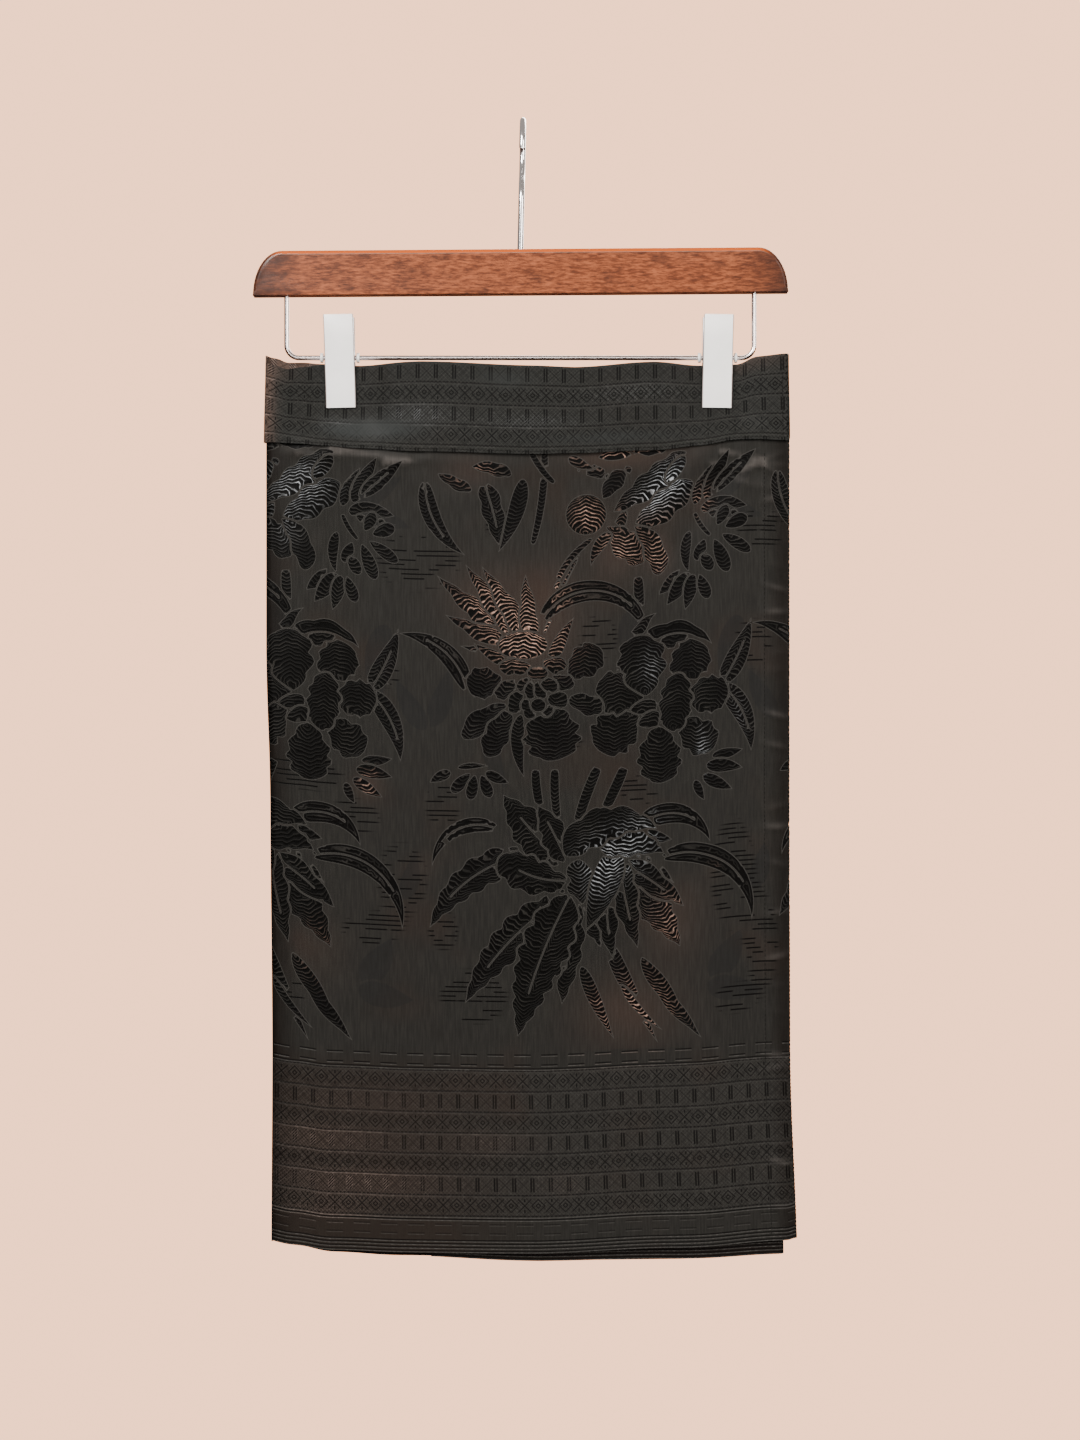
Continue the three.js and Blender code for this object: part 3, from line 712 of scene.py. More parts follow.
def front_plan(u, z, layer_step, lift):
    """Where a point of the front stretch lies in plan, and the x at which its edges are read."""
    x, y = from_left(u, z, front_y, -1, front_width, right_at(z))
    edge_x = x

    # the hairpin at the free edge, then the turning behind the front
    radius = layer_step / 2
    arc = math.pi * radius
    turn = np.clip((u - front_width) / arc, 0, 1) * math.pi
    back = np.clip(u - front_width - arc, 0, turning)
    turned = u > front_width
    edge_y = front_y(right_at(z), z) - lift
    x = np.where(turned, right_at(z) + radius * np.sin(turn) - back, x)
    inside_y = front_y(right_at(z) - back, z) - lift + layer_step
    y_turn = np.where(back > 0, inside_y, edge_y + radius * (1 - np.cos(turn)))
    y = np.where(turned, y_turn, y)
    return x, y, np.where(turned, right_at(z) - back, edge_x)


def right_fold(z):
    """Where the right fold starts to turn, and the centre and radius of its turn."""
    x = right_at(z) - back_inset
    front = under_y(x, z)
    back = back_y(x, z)
    return x, (front + back) / 2, (back - front) / 2


def back_plan(u, z):
    """The back stretch: u runs from the left fold to the crown of the right fold."""
    fold_x, centre, radius = right_fold(z)
    end = back_width - math.pi / 2 * radius
    x, y = from_left(u, z, back_y, 1, end, fold_x - radius)
    angle = np.clip((u - end) / (back_width - end), 0, 1) * math.pi / 2
    folded = u > end
    x = np.where(folded, fold_x - radius * (1 - np.sin(angle)), x)
    y = np.where(folded, centre + fold_gap + (radius - fold_gap) * np.cos(angle), y)
    return x, y, x


def under_plan(u, z):
    """The under stretch: u runs from the crown of the right fold to the cloth's inner end."""
    fold_x, centre, radius = right_fold(z)
    start = math.pi / 2 * radius
    angle = (1 - np.clip(u / start, 0, 1)) * math.pi / 2
    x = fold_x - radius * (1 - np.sin(angle))
    y = centre - fold_gap - (radius - fold_gap) * np.cos(angle)
    share = np.clip((u - start) / (under_width - start), 0, 1)
    across = mix(fold_x - radius, under_end, share)
    x = np.where(u > start, across, x)
    y = np.where(u > start, under_y(x, z), y)
    return x, y, x


def wrap_z(v, edge_x, hem_column):
    """Height of a point of the wrap cloth: the hem and the band's lower edge are both level rows."""
    hem = read(hem_edges, "x", edge_x, hem_column)
    bottom = read(band_edges, "x", edge_x, "bottom")
    return np.where(v < wrap_height, mix(hem, bottom, v / wrap_height), bottom + v - wrap_height)


def band_z(v, edge_x, top_column):
    """Height of a point of the waistband, between its lower and its upper edge."""
    top = read(band_edges, "x", edge_x, top_column)
    bottom = read(band_edges, "x", edge_x, "bottom")
    return mix(bottom, top, v / band_height)


def hang(points, plan, height):
    """Carries flat cloth points to the hanging cloth. The plan depends on the height and the
    height on the plan, so the two are settled in a few rounds from a first guess."""
    u, v = points[:, 0], points[:, 1]
    z = v + hem_guess
    for _ in range(4):
        x, y, edge_x = plan(u, z)
        z = height(v, edge_x)
    x, y, edge_x = plan(u, z)
    return np.stack([x, y, z], axis=1)


# ---------------------------------------------------------------- the woven figures
# The wrap cloth is a satin jacquard: large black flowers and leaves on a dark ground, each petal
# with a ground-coloured line round it and filled with fine ribs. The figures are drawn here once,
# as the weaver charts them, and repeat across the cloth.

figure_repeat = 237
# steps along a blade's outline, about this long (mm), and how far a vein runs along its blade
blade_step = 1.8
vein_share = 0.64
# a flame blade that turns further than this has its ribs along its length
strong_bend = 80
# how a blade swells from its foot and narrows to its tip: low numbers are blunt, high are sharp
blade_shapes = {
    "leaf": (0.55, 0.95),
    "petal": (0.75, 0.5),
    "flame": (0.5, 1.05),
    "stem": (0.1, 0.16),
    "oval": (0.5, 0.5),
}

# Blades of one shape follow its name. Each has its foot across and up the cloth, the direction it
# sets off in and how far it turns along its length (degrees), its length and width (mm), and
# where it has them its lobes, and 1 for a vein.
top_flower = (
    ("leaf", (208, 529, -14, -16, 37, 9)),
    ("flame", (206, 534, -35, 20, 20, 8)),
    ("petal", (226, 533, 12, 12, 30, 13), (246, 538, -8, 30, 30, 12, 3)),
    ("oval", (230, 519, 8, 20, 20, 9)),
    ("petal", (229, 505, 60, -20, 24, 14, 2)),
    ("leaf", (236, 478, 62, 8, 24, 9)),
    ("petal", (236, 496, 34, 6, 62, 20, 4)),
    ("oval", (272, 514, 52, 0, 21, 10)),
    ("petal", (249, 481, 40, -4, 52, 22, 3), (232, 487, -52, 30, 38, 24, 3),
     (250, 486, -30, -70, 40, 17, 2)),
    ("flame", (235, 482, 214, 48, 27, 9)),
)
bud_and_stems = (
    ("stem", (190, 541, 272, -18, 66, 6), (180, 541, 290, 30, 30, 5)),
    ("flame", (188, 414, 76, -26, 72, 9, 0, 1)),
    ("stem", (199, 452, 66, -34, 36, 5)),
    ("oval", (218, 481, 90, 0, 28, 28)),
    ("stem", (253, 452, 274, -14, 50, 8)),
    ("flame", (188, 424, 62, -158, 104, 15, 0, 1)),
)
hanging_blades = (
    ("flame", (110, 517, 268, 62, 60, 13, 0, 1)),
    ("petal", (118, 522, -30, 10, 26, 10, 2), (141, 527, 5, -30, 28, 11, 2)),
    ("leaf", (149, 517, 292, -16, 46, 17, 3, 1)),
    ("flame", (176, 520, 262, -22, 54, 12), (138, 376, 100, 82, 66, 14, 0, 1)),
)
leaf_sprig = (
    ("leaf", (291, 497, 78, -26, 30, 9), (298, 500, 66, -8, 36, 11), (303, 504, 42, 0, 40, 11, 0, 1),
     (295, 494, 8, -22, 32, 13), (300, 491, -14, 10, 28, 8)),
    ("stem", (291, 492, 290, 26, 20, 4)),
    ("leaf", (288, 480, 246, 46, 30, 8)),
    ("petal", (306, 481, 62, 0, 15, 9), (311, 479, 22, 0, 17, 10), (309, 475, -34, 0, 24, 9),
     (304, 473, -68, 0, 26, 10), (298, 474, -112, 0, 16, 9)),
    ("oval", (296, 464, -60, 0, 14, 9)),
    ("leaf", (286, 453, 206, 20, 24, 11), (288, 452, 232, 0, 26, 12), (290, 451, 262, -10, 25, 10)),
    ("petal", (294, 451, 286, 10, 19, 9)),
)
great_bloom = (
    ("flame", (176, 410, 150, -14, 74, 18, 4), (178, 411, 134, -10, 66, 17, 3),
     (180, 411, 121, 4, 60, 15, 3), (182, 411, 100, -8, 46, 14, 2), (174, 406, 162, -10, 56, 15, 3),
     (172, 402, 176, -6, 40, 10, 2), (168, 395, 158, -14, 30, 9), (194, 395, 70, -14, 36, 10)),
    ("petal", (164, 382, 176, 10, 27, 24, 3), (166, 368, 200, 34, 40, 17, 2),
     (168, 366, 236, 12, 38, 19, 3)),
    ("leaf", (174, 362, 252, 40, 44, 10)),
    ("petal", (205, 386, 38, 8, 30, 25, 3), (204, 372, -14, -10, 27, 16, 2),
     (193, 370, -88, 6, 40, 42, 4)),
    ("oval", (176, 398, 92, 0, 20, 34)),
    ("petal", (181, 384, 196, 14, 27, 14, 2), (182, 382, 226, 8, 25, 14, 2),
     (183, 382, 258, 4, 24, 14, 2), (185, 382, 290, -4, 23, 14, 2), (187, 383, 320, -8, 24, 14, 2),
     (188, 386, -8, -12, 23, 13, 2), (183, 392, 168, 20, 24, 13, 2), (184, 392, 16, -20, 22, 13, 2),
     (184, 386, 208, 10, 15, 10), (184, 386, 248, 6, 15, 10), (185, 386, 288, -6, 15, 10),
     (186, 386, 330, -10, 15, 10)),
    ("oval", (178, 389, 6, -14, 15, 10), (180, 368, 0, 0, 11, 10)),
)
peony = (
    ("flame", (255, 401, 60, -118, 58, 15, 3), (250, 398, 96, -70, 36, 11, 2),
     (262, 402, 34, -80, 44, 10)),
    ("petal", (276, 380, 48, 0, 32, 30, 4), (282, 368, 4, 0, 32, 28, 4), (280, 354, -42, 0, 32, 27, 3),
     (266, 352, -88, 0, 40, 33, 4), (254, 364, 222, 0, 40, 35, 4), (257, 370, 166, 0, 34, 33, 4),
     (258, 371, 96, 0, 42, 36, 3), (247, 362, 10, 0, 20, 11), (252, 352, 20, 0, 18, 12)),
    ("oval", (276, 346, 84, 0, 40, 25, 4)),
)
side_blades = (
    ("flame", (309, 375, 54, 22, 48, 15, 0, 1), (309, 374, -42, -50, 52, 15, 0, 1)),
    ("leaf", (126, 322, 196, 20, 17, 8)),
    ("petal", (139, 322, 226, 0, 19, 9), (142, 321, 258, 0, 18, 9), (146, 321, 292, 0, 17, 9)),
    ("leaf", (149, 323, 326, 20, 18, 8), (130, 325, 14, -20, 22, 5), (302, 328, -4, 20, 22, 8),
     (298, 322, -6, -8, 26, 10), (296, 316, -36, 10, 24, 9), (291, 313, -76, 20, 16, 7)),
)
acanthus = (
    ("stem", (183, 325, 268, 20, 30, 7), (196, 325, 266, 14, 36, 7), (225, 325, 244, 12, 44, 8),
     (243, 324, 246, -4, 36, 8)),
    ("flame", (252, 283, 46, -122, 62, 15, 0, 1), (268, 262, 20, -116, 92, 15, 0, 1),
     (213, 192, 290, 8, 56, 10), (229, 212, 292, 8, 84, 11)),
    ("leaf", (254, 196, 300, 12, 70, 13, 2)),
    ("flame", (240, 178, 300, 24, 44, 6), (158, 284, 154, 112, 62, 11, 0, 1)),
    ("leaf", (178, 268, 190, 54, 88, 24, 6, 1), (202, 262, 138, -12, 62, 32, 5, 1),
     (204, 262, 112, 10, 44, 22, 4, 1), (241, 254, -44, -18, 66, 27, 5),
     (240, 264, -20, -16, 42, 17, 2), (238, 274, 14, -28, 38, 15, 0, 1),
     (240, 260, -28, -16, 54, 20, 2, 1), (212, 264, 268, 6, 34, 20, 2), (186, 262, 312, -14, 30, 9),
     (214, 232, 304, -6, 38, 17, 3), (230, 246, 270, 10, 50, 17, 3, 1),
     (238, 266, 278, 8, 66, 20, 4, 1), (238, 270, 252, -8, 58, 21), (226, 270, 22, -56, 46, 22, 3),
     (203, 266, 60, -92, 72, 27, 4), (200, 238, 212, 30, 98, 27, 7, 1),
     (206, 240, 268, -6, 74, 24, 5, 1), (206, 240, 240, 18, 102, 36, 8, 1)),
    ("petal", (206, 250, 184, -46, 52, 28, 4, 1)),
)
ghost_leaves = (
    ("leaf", (60, 500, 20, 20, 40, 16), (66, 494, -10, -10, 36, 14), (84, 420, 250, 30, 56, 20),
     (112, 352, 60, 20, 44, 16), (110, 350, 130, -20, 40, 15), (300, 180, 40, 30, 38, 20),
     (298, 176, -20, 20, 40, 18), (92, 236, 60, 30, 34, 14), (250, 430, 250, 10, 30, 14),
     (150, 348, 280, 20, 40, 13)),
)
figure_chart = (
    side_blades + hanging_blades + bud_and_stems + top_flower + leaf_sprig + acanthus
    + peony + great_bloom
)


def draw_blade(shape, row, shift):
    """The outline and the spine of one petal, leaf or stem, in millimetres on the flat cloth."""
    u, v, heading, bend, length, width, lobes, vein = row + (0, 0)[len(row) - 6:]
    count = max(7, round(length / blade_step))
    t = (1 - np.cos(np.pi * np.arange(count + 1) / count)) / 2
    middle = np.radians(heading + bend * (t[1:] + t[:-1]) / 2)
    stride = length * np.diff(t)
    spine_u = u + shift + np.concatenate([[0], np.cumsum(np.cos(middle) * stride)])
    spine_v = v + np.concatenate([[0], np.cumsum(np.sin(middle) * stride)])
    foot, tip = blade_shapes[shape]
    widest = foot / (foot + tip)
    half = width / 2 * t ** foot * (1 - t) ** tip / (widest ** foot * (1 - widest) ** tip)
    turn = np.radians(heading + bend * t)
    sides = []
    for sign, offset in ((1, 0.0), (-1, 0.35)):
        scallop = 1 if not lobes else 0.74 + 0.26 * np.abs(np.sin(np.pi * (lobes * t ** 1.2 + offset)))
        reach = sign * half * scallop
        sides.append(np.stack([spine_u - np.sin(turn) * reach, spine_v + np.cos(turn) * reach], axis=1))
    outline = np.concatenate([sides[0], sides[1][-2:0:-1]])
    spine = np.stack([spine_u, spine_v], axis=1)
    return outline, spine, bool(vein)


def crossings(outline, v):
    """For each side of an outline: which heights cross it, and how far across each does."""
    for a, b in zip(outline, np.roll(outline, -1, axis=0)):
        if a[1] != b[1]:
            yield (a[1] > v) != (b[1] > v), a[0] + (v - a[1]) * (b[0] - a[0]) / (b[1] - a[1])


def within(outline, points):
    """Which points lie inside an outline."""
    low, high = outline.min(axis=0), outline.max(axis=0)
    close = np.flatnonzero(np.all((points > low) & (points < high), axis=1))
    hit = np.zeros(len(points), dtype=bool)
    u, v = points[close, 0], points[close, 1]
    for level, crossing in crossings(outline, v):
        hit[close] ^= level & (u < crossing)
    return hit


def rib_bow(outline, points, width):
    """How far a petal's ribs bow at each of its points: most at the middle of its width there."""
    u, v = points[:, 0], points[:, 1]
    left, right = np.full(len(u), -1e9), np.full(len(u), 1e9)
    for level, crossing in crossings(outline, v):
        left = np.where(level & (crossing <= u), np.maximum(left, crossing), left)
        right = np.where(level & (crossing > u), np.minimum(right, crossing), right)
    half = (right - left) / 2
    off = np.abs(u - (left + right) / 2) / np.maximum(half, 1e-6)
    reach = 0.5 * min(width / 2, 14) * np.clip(half / (0.17 * width), 0, 1) ** 0.5
    return np.where(half < 500, (1 - off ** 1.6) * reach, 0)


def chart_figures(chart, low_u, high_u):
    """The blades between two places across the cloth, and the lines of them that show: a blade
    hides what the chart puts before it."""
    blades = []
    for shape, row in [(shape, row) for shape, *rows in chart for row in rows]:
        heading, bend, _, width = row[2:6]
        tip_way = 1 if math.sin(math.radians(heading + bend / 2)) > 0 else -1
        lengthwise = shape == "flame" and abs(bend) > strong_bend
        for copy in range(-5, 4):
            outline, spine, vein = draw_blade(shape, row, copy * figure_repeat)
            if outline[:, 0].max() > low_u and outline[:, 0].min() < high_u:
                blades.append((outline, spine, tip_way, lengthwise, vein, width))
    starts, ends = [], []
    for k, (outline, spine, _, _, vein, _) in enumerate(blades):
        a, b = outline, np.roll(outline, -1, axis=0)
        if vein:
            keep = slice(0, max(3, int(len(spine) * vein_share)))
            a = np.concatenate([a, spine[keep][:-1]])
            b = np.concatenate([b, spine[keep][1:]])
        hidden = np.zeros(len(a), dtype=bool)
        low, high = a.min(axis=0), a.max(axis=0)
        for above, *_ in blades[k + 1:]:
            if np.all(above.min(axis=0) < high) and np.all(above.max(axis=0) > low):
                hidden |= within(above, (a + b) / 2)
        starts.append(a[~hidden])
        ends.append(b[~hidden])
    return blades, np.concatenate(starts), np.concatenate(ends)


def tree_of(starts, ends):
    """The lines as close samples, for finding how far a point is from them."""
    samples = np.concatenate([mix(starts, ends, share) for share in (0.0, 0.33, 0.67, 1.0)])
    tree = KDTree(len(samples))
    for i, (u, v) in enumerate(samples):
        tree.insert((u, v, 0), i)
    tree.balance()
    return tree


def distance_to(tree, points):
    """How far each point is from the lines of a tree."""
    return np.array([tree.find((u, v, 0))[2] for u, v in points])


# ---------------------------------------------------------------- cutting and sewing
# A stretch is cut flat, with its figures' lines along the edges of its triangles, so that the
# lines stay sharp. Then it is hung, given its thickness, and mapped by its place on the flat cloth.

# of the points' spacing: how far apart rows of even-sided triangles lie, and how far from the rim
row_share = 0.87
rim_share = 0.35
# in millimetres: how far the free points keep from a figure's line, how far a line keeps from the
# rim, and how near still counts as on a line
clear_of_line = 0.9
clear_of_rim = 0.6
on_line = 0.12


class AlongCloth:
    """Where a stretch lies on the charted cloth: its start, and which way its u runs."""

    def __init__(self, start, way):
        self.start = start
        self.way = way

    def charted(self, points):
        return np.stack([self.start + self.way * points[:, 0], points[:, 1]], axis=1)

    def uncharted(self, points):
        return np.stack([(points[:, 0] - self.start) * self.way, points[:, 1]], axis=1)


def cut_corners(width, high, notch=None):
    """The corners of a cut: notch = (u, v) takes out the upper right corner past it."""
    if notch is None:
        return [(0, 0), (width, 0), (width, high), (0, high)]
    return [(0, 0), (width, 0), (width, notch[1]), (notch[0], notch[1]), (notch[0], high), (0, high)]


def inside_cut(corners, points, margin):
    """Which points lie inside a cut, at least margin from its rim."""
    u, v = points[:, 0], points[:, 1]
    inside = (u > margin) & (v > margin) & (u < corners[1][0] - margin) & (v < corners[-1][1] - margin)
    if len(corners) == 6:
        inside &= (u < corners[3][0] - margin) | (v < corners[2][1] - margin)
    return inside


def cut_cloth(corners, spacing, columns=(), along=None, strips=()):
    """A flat triangulated cut in millimetres. Where it is said how it lies along the charted cloth,
    the figures' lines are drawn in. Returns the points, the faces and the woven marks."""
    rim = []
    for a, b in zip(corners, corners[1:] + corners[:1]):
        count = max(1, round(math.dist(a, b) / spacing))
        rim += [mix(np.array(a, dtype=float), np.array(b, dtype=float), k / count) for k in range(count)]
    rim = np.array(rim)
    edges = [(i, (i + 1) % len(rim)) for i in range(len(rim))]
    width, high = corners[1][0], corners[-1][1]
    rows = np.arange(spacing, high, spacing * row_share)
    grid = []
    for j, v in enumerate(rows):
        across = np.arange(spacing * (0.5 if j % 2 else 1.0), width, spacing)
        grid.append(np.stack([across, np.full(len(across), v)], axis=1))
        grid.append(np.array([(u, v) for u in columns]).reshape(-1, 2))
    for low, top, close in strips:
        # each row slopes a little, so that no four points lie on one circle
        fine = np.meshgrid(np.arange(low, top, close), np.arange(close, high, close))
        grid.append(np.stack([fine[0].ravel(), fine[1].ravel() + 0.01 * fine[0].ravel()], axis=1))
    grid = np.concatenate(grid)
    grid = grid[inside_cut(corners, grid, spacing * rim_share)]
    woven = {}
    if along is None:
        points = np.concatenate([rim, grid])
    else:
        reach = sorted((along.start, along.start + along.way * width))
        drawn = []
        for chart in (figure_chart, ghost_leaves):
            blades, starts, ends = chart_figures(chart, *reach)
            drawn.append((blades, starts, ends, tree_of(starts, ends)))
        charted = along.charted(grid)
        free = np.all([distance_to(tree, charted) > clear_of_line for *_, tree in drawn], axis=0)
        points = [rim, grid[free]]
        count = len(rim) + int(free.sum())
        for blades, starts, ends, _ in drawn:
            a, b = along.uncharted(starts), along.uncharted(ends)
            held = inside_cut(corners, a, clear_of_rim) & inside_cut(corners, b, clear_of_rim)
            a, b = a[held], b[held]
            edges += [(count + i, count + len(a) + i) for i in range(len(a))]
            points += [a, b]
            count += 2 * len(a)
            spines = along.uncharted(np.concatenate([blade[1][2:-2] for blade in blades]))
            spines = spines[inside_cut(corners, spines, clear_of_rim)]
            points.append(spines)
            count += len(spines)
        points = np.concatenate(points)
    result = delaunay_2d_cdt([Vector(p) for p in points], edges, [], 1, 0.02, False)
    flat = np.array([(p.x, p.y) for p in result[0]])
    faces = [face for face in result[2] if len(face) == 3]
    if along is not None:
        charted = along.charted(flat)
        for name, (blades, _, _, tree) in zip(("figure", "ghost"), drawn):
            inside = np.zeros(len(flat), dtype=bool)
            bow, lengthwise = np.zeros(len(flat)), np.zeros(len(flat))
            for outline, _, tip_way, along_it, _, width_there in blades:
                held = within(outline, charted)
                inside |= held
                if name == "figure":
                    bow[held] = rib_bow(outline, charted[held], width_there) * tip_way
                    lengthwise[held] = along_it
            away = distance_to(tree, charted)
            woven[name] = np.where(inside & (away > on_line), away, 0)
            if name == "figure":
                woven["bow"] = np.where(woven[name] > 0, bow, 0)
                woven["lengthwise"] = lengthwise
    return flat, faces, woven


def sew(name, flat, faces, placed, thickness, along, attributes):
    """A cloth piece from its flat cut and its hanging points: a thin shell with its own map."""
    mesh = bpy.data.meshes.new(name)
    mesh.from_pydata(placed.tolist(), [], [list(face) for face in faces])
    mesh.update()
    charted = along.charted(flat) * mm
    corner = np.zeros(len(mesh.loops), dtype=np.int32)
    mesh.loops.foreach_get("vertex_index", corner)
    layer = mesh.uv_layers.new(name="cut")
    layer.data.foreach_set("uv", charted[corner].astype(np.float32).ravel())
    for key, values in attributes.items():
        mesh.attributes.new(key, "FLOAT", "POINT").data.foreach_set("value", values.astype(np.float32))
    piece = new_piece(name, mesh)
    shell = piece.modifiers.new("wall", "SOLIDIFY")
    shell.thickness = thickness
    shell.offset = 0
    bpy.ops.object.modifier_apply(modifier=shell.name)
    bpy.ops.object.shade_smooth_by_angle(angle=math.radians(50))
    return piece


def spots_at(spots, flat):
    """How strongly soft spots cover each point. A spot: place and reach on the chart, strength."""
    total = np.zeros(len(flat))
    for u, v, reach_u, reach_v, strength in spots:
        away = ((flat[:, 0] - u) / reach_u) ** 2 + ((flat[:, 1] - v) / reach_v) ** 2
        total += strength * np.exp(-away * 1.6)
    return total


def make_stretch(name, cut, along, plan, height, thickness, spots, relief=None):
    """A stretch from its flat cut, with soft spots named in spots, and relief on its front."""
    flat, faces, woven = cut
    for mark, rows in spots.items():
        woven[mark] = spots_at(rows, along.charted(flat))
    placed = hang(flat * mm, plan, height)
    if relief:
        out, woven["ridge"] = relief(flat * mm, placed)
        placed[:, 1] -= out
    placed[:, 0] += bar_centre_x
    return sew(name, flat, faces, placed, thickness, along, woven)


# ---------------------------------------------------------------- wrap cloth
# One length of jacquard. Its free front edge is turned in and topstitched down the right side,
# it folds round the left side to the back, and round the right side to the layer underneath.

wall = 0.8 * mm
turn_step = 1.5 * mm
turn_arc = math.pi * turn_step / 2
front_stitch_u = 338 * mm
seam_dip = 0.9 * mm
stitch_dip = 0.45 * mm
pucker_count = 26
pucker_pitch = 20.5

# tones: the satin ground, its browned patches and painted copper glow, ghost leaves, the border's brown,
# the painted shade of the folds, the painted highlight on crease ridges, the figures' black and its
# ground-coloured rim, ribs dull and with painted copper and silver glints, the pale yarn of the border
# dull and with painted glints, and the band's ground with its painted sheen and copper glow
ground_low = (0.0104, 0.0100, 0.0091)
ground_high = (0.0150, 0.0144, 0.0130)
ground_brown = (0.018, 0.0122, 0.0095)
painted_copper_glow = (0.16, 0.085, 0.06)
ghost_tone = (0.0078, 0.0080, 0.0082)
border_brown = (0.0128, 0.0088, 0.0068)
painted_shade_tone = (0.0040, 0.0026, 0.0020)
crease_highlight_tone = (0.105, 0.094, 0.088)
black = (0.0010, 0.0009, 0.0008)
rim_tone = (0.036, 0.0345, 0.032)
rib_low = (0.0062, 0.0059, 0.0054)
rib_high = (0.0165, 0.0156, 0.0142)
rib_copper_glint = (0.36, 0.225, 0.175)
rib_silver_glint = (0.24, 0.255, 0.27)
yarn_dull = (0.048, 0.046, 0.043)
yarn_copper_glint = (0.23, 0.165, 0.14)
yarn_silver_glint = (0.23, 0.24, 0.25)
band_ground = (0.0090, 0.0101, 0.0094)
band_painted_sheen = (0.0205, 0.0228, 0.0226)
band_copper_glow = (0.085, 0.052, 0.040)

# painted copper and silver glints where the metal yarn catches the light, as soft spots: place
# across and up, reach across and up, strength
warm_glint_spots = (
    (176, 408, 40, 26, 0.8), (150, 440, 34, 26, 0.7), (196, 440, 18, 34, 0.5), (218, 495, 15, 16, 0.9),
    (238, 534, 40, 12, 0.9), (262, 496, 34, 18, 0.5), (240, 468, 22, 20, 0.9), (268, 466, 12, 20, 0.8),
    (275, 216, 26, 30, 0.7), (246, 160, 44, 30, 0.9), (140, 524, 26, 14, 0.7), (108, 258, 12, 12, 0.3),
    (303, 252, 8, 10, 0.35), (288, 236, 18, 16, 0.2), (190, 435, 60, 40, 0.35), (34, 200, 26, 30, 0.4),
    (296, 500, 10, 16, 0.6), (70, 312, 12, 14, 0.8), (40, 74, 60, 11, 0.6), (60, 46, 66, 11, 0.7),
    (70, 100, 60, 10, 0.3), (150, 74, 40, 9, 0.35), (40, 26, 40, 11, 0.4), (200, 46, 20, 9, 0.25),
)
cool_glint_spots = (
    (26, 510, 30, 24, 1.0), (274, 514, 18, 20, 1.2), (258, 500, 16, 14, 0.9), (238, 268, 32, 22, 0.9),
    (226, 248, 18, 20, 0.7), (262, 390, 12, 20, 0.6), (296, 332, 6, 22, 0.9), (320, 350, 10, 26, 0.4),
    (258, 284, 20, 16, 0.5), (16, 480, 14, 20, 0.5),
)


def border_marks(u, v, first, glint):
    """Dark and pale marks of the border's rows, a diamond row first: two values from 0 to 1.
    Every measure is in millimetres on the cloth."""
    row = 13.93
    diamond_pitch = 18.2
    tower_pitch = 12.3
    up = ((v - first) / row).fraction() * row
    tower_row = ((v - first) / (2 * row)).fraction().rise(0.49, 0.51)
    off_middle = (up - row / 2).absolute()

    # diamonds inside diamonds, with an eight-armed star between each two
    across = u.from_middle(diamond_pitch)
    diamond = off_middle + diamond_pitch / 2 - across
    rings = diamond.near(4.4, 0.25, 0.4).greatest(diamond.near(1.5, 0.3, 0.4))
    arms = (across - off_middle).absolute().rise(0.75, 0.3) * across.rise(4.6, 4.2)
    spurs = across.rise(0.7, 0.3) * off_middle.near(3.6, 0.9, 0.3)
    outer = (across + off_middle).near(6.4, 0.15, 0.45) * 0.6
    diamonds = rings.greatest(arms).greatest(spurs).greatest(outer)

    # pairs of upright bars, with a crossed lozenge between each two
    along = u.from_middle(tower_pitch)
    inside_row = off_middle.rise(4.9, 4.5)
    bars = along.near(0.85, 0.42, 0.25) * inside_row
    cross = (tower_pitch / 2 - along - off_middle).absolute().rise(0.6, 0.25) * along.rise(2.2, 2.6)
    towers = bars.greatest(cross * inside_row * 0.55)
    marks = tower_row * towers + (1 - tower_row) * diamonds

    # the finest lattice of the ground, and where the glint spots cover the towers a painted glint:
    # dark blocks hatched with pale twill lines, and the pale row lines painted brighter
    lattice_pitch = 2.6
    lattice = (u + v).wave(lattice_pitch).greatest((u - v).wave(lattice_pitch)).rise(0.62, 0.95)
    glint_block = along.rise(2.4, 2.0) * inside_row * tower_row * glint
    glint_hatch = (u * 1.1 - v).wave(2.0).rise(0.45, 0.8) * glint_block
    edge_line = (row - up).least(up).rise(0.75, 0.35)
    pale_line = up.near(row - 1.15, 0.15, 0.35) * (glint * 0.7 + 0.35)
    dark = marks.greatest(edge_line).greatest(glint_block)
    flecks = (u * 0.9 + v).wave(1.3).rise(0.5, 0.9) * (u * 1.1 - v).wave(1.7).rise(0.4, 0.9)
    quiet = (1 - marks) * (1 - tower_row * glint * 0.6)
    pale = pale_line.greatest(glint_hatch).greatest(lattice.greatest(flecks) * 0.42 * quiet)
    return dark, pale


def lines_at(v, places, half_width):
    """Thin level lines at a few heights, in millimetres up the cloth."""
    nearest = (v - places[0]).absolute()
    for place in places[1:]:
        nearest = nearest.least((v - place).absolute())
    return nearest.rise(half_width + 0.35, half_width)


dash_pitch = 18.2
lane_pitch = 3.1
cross_rib_pitch = 2.6
long_rib_pitch = 1.9


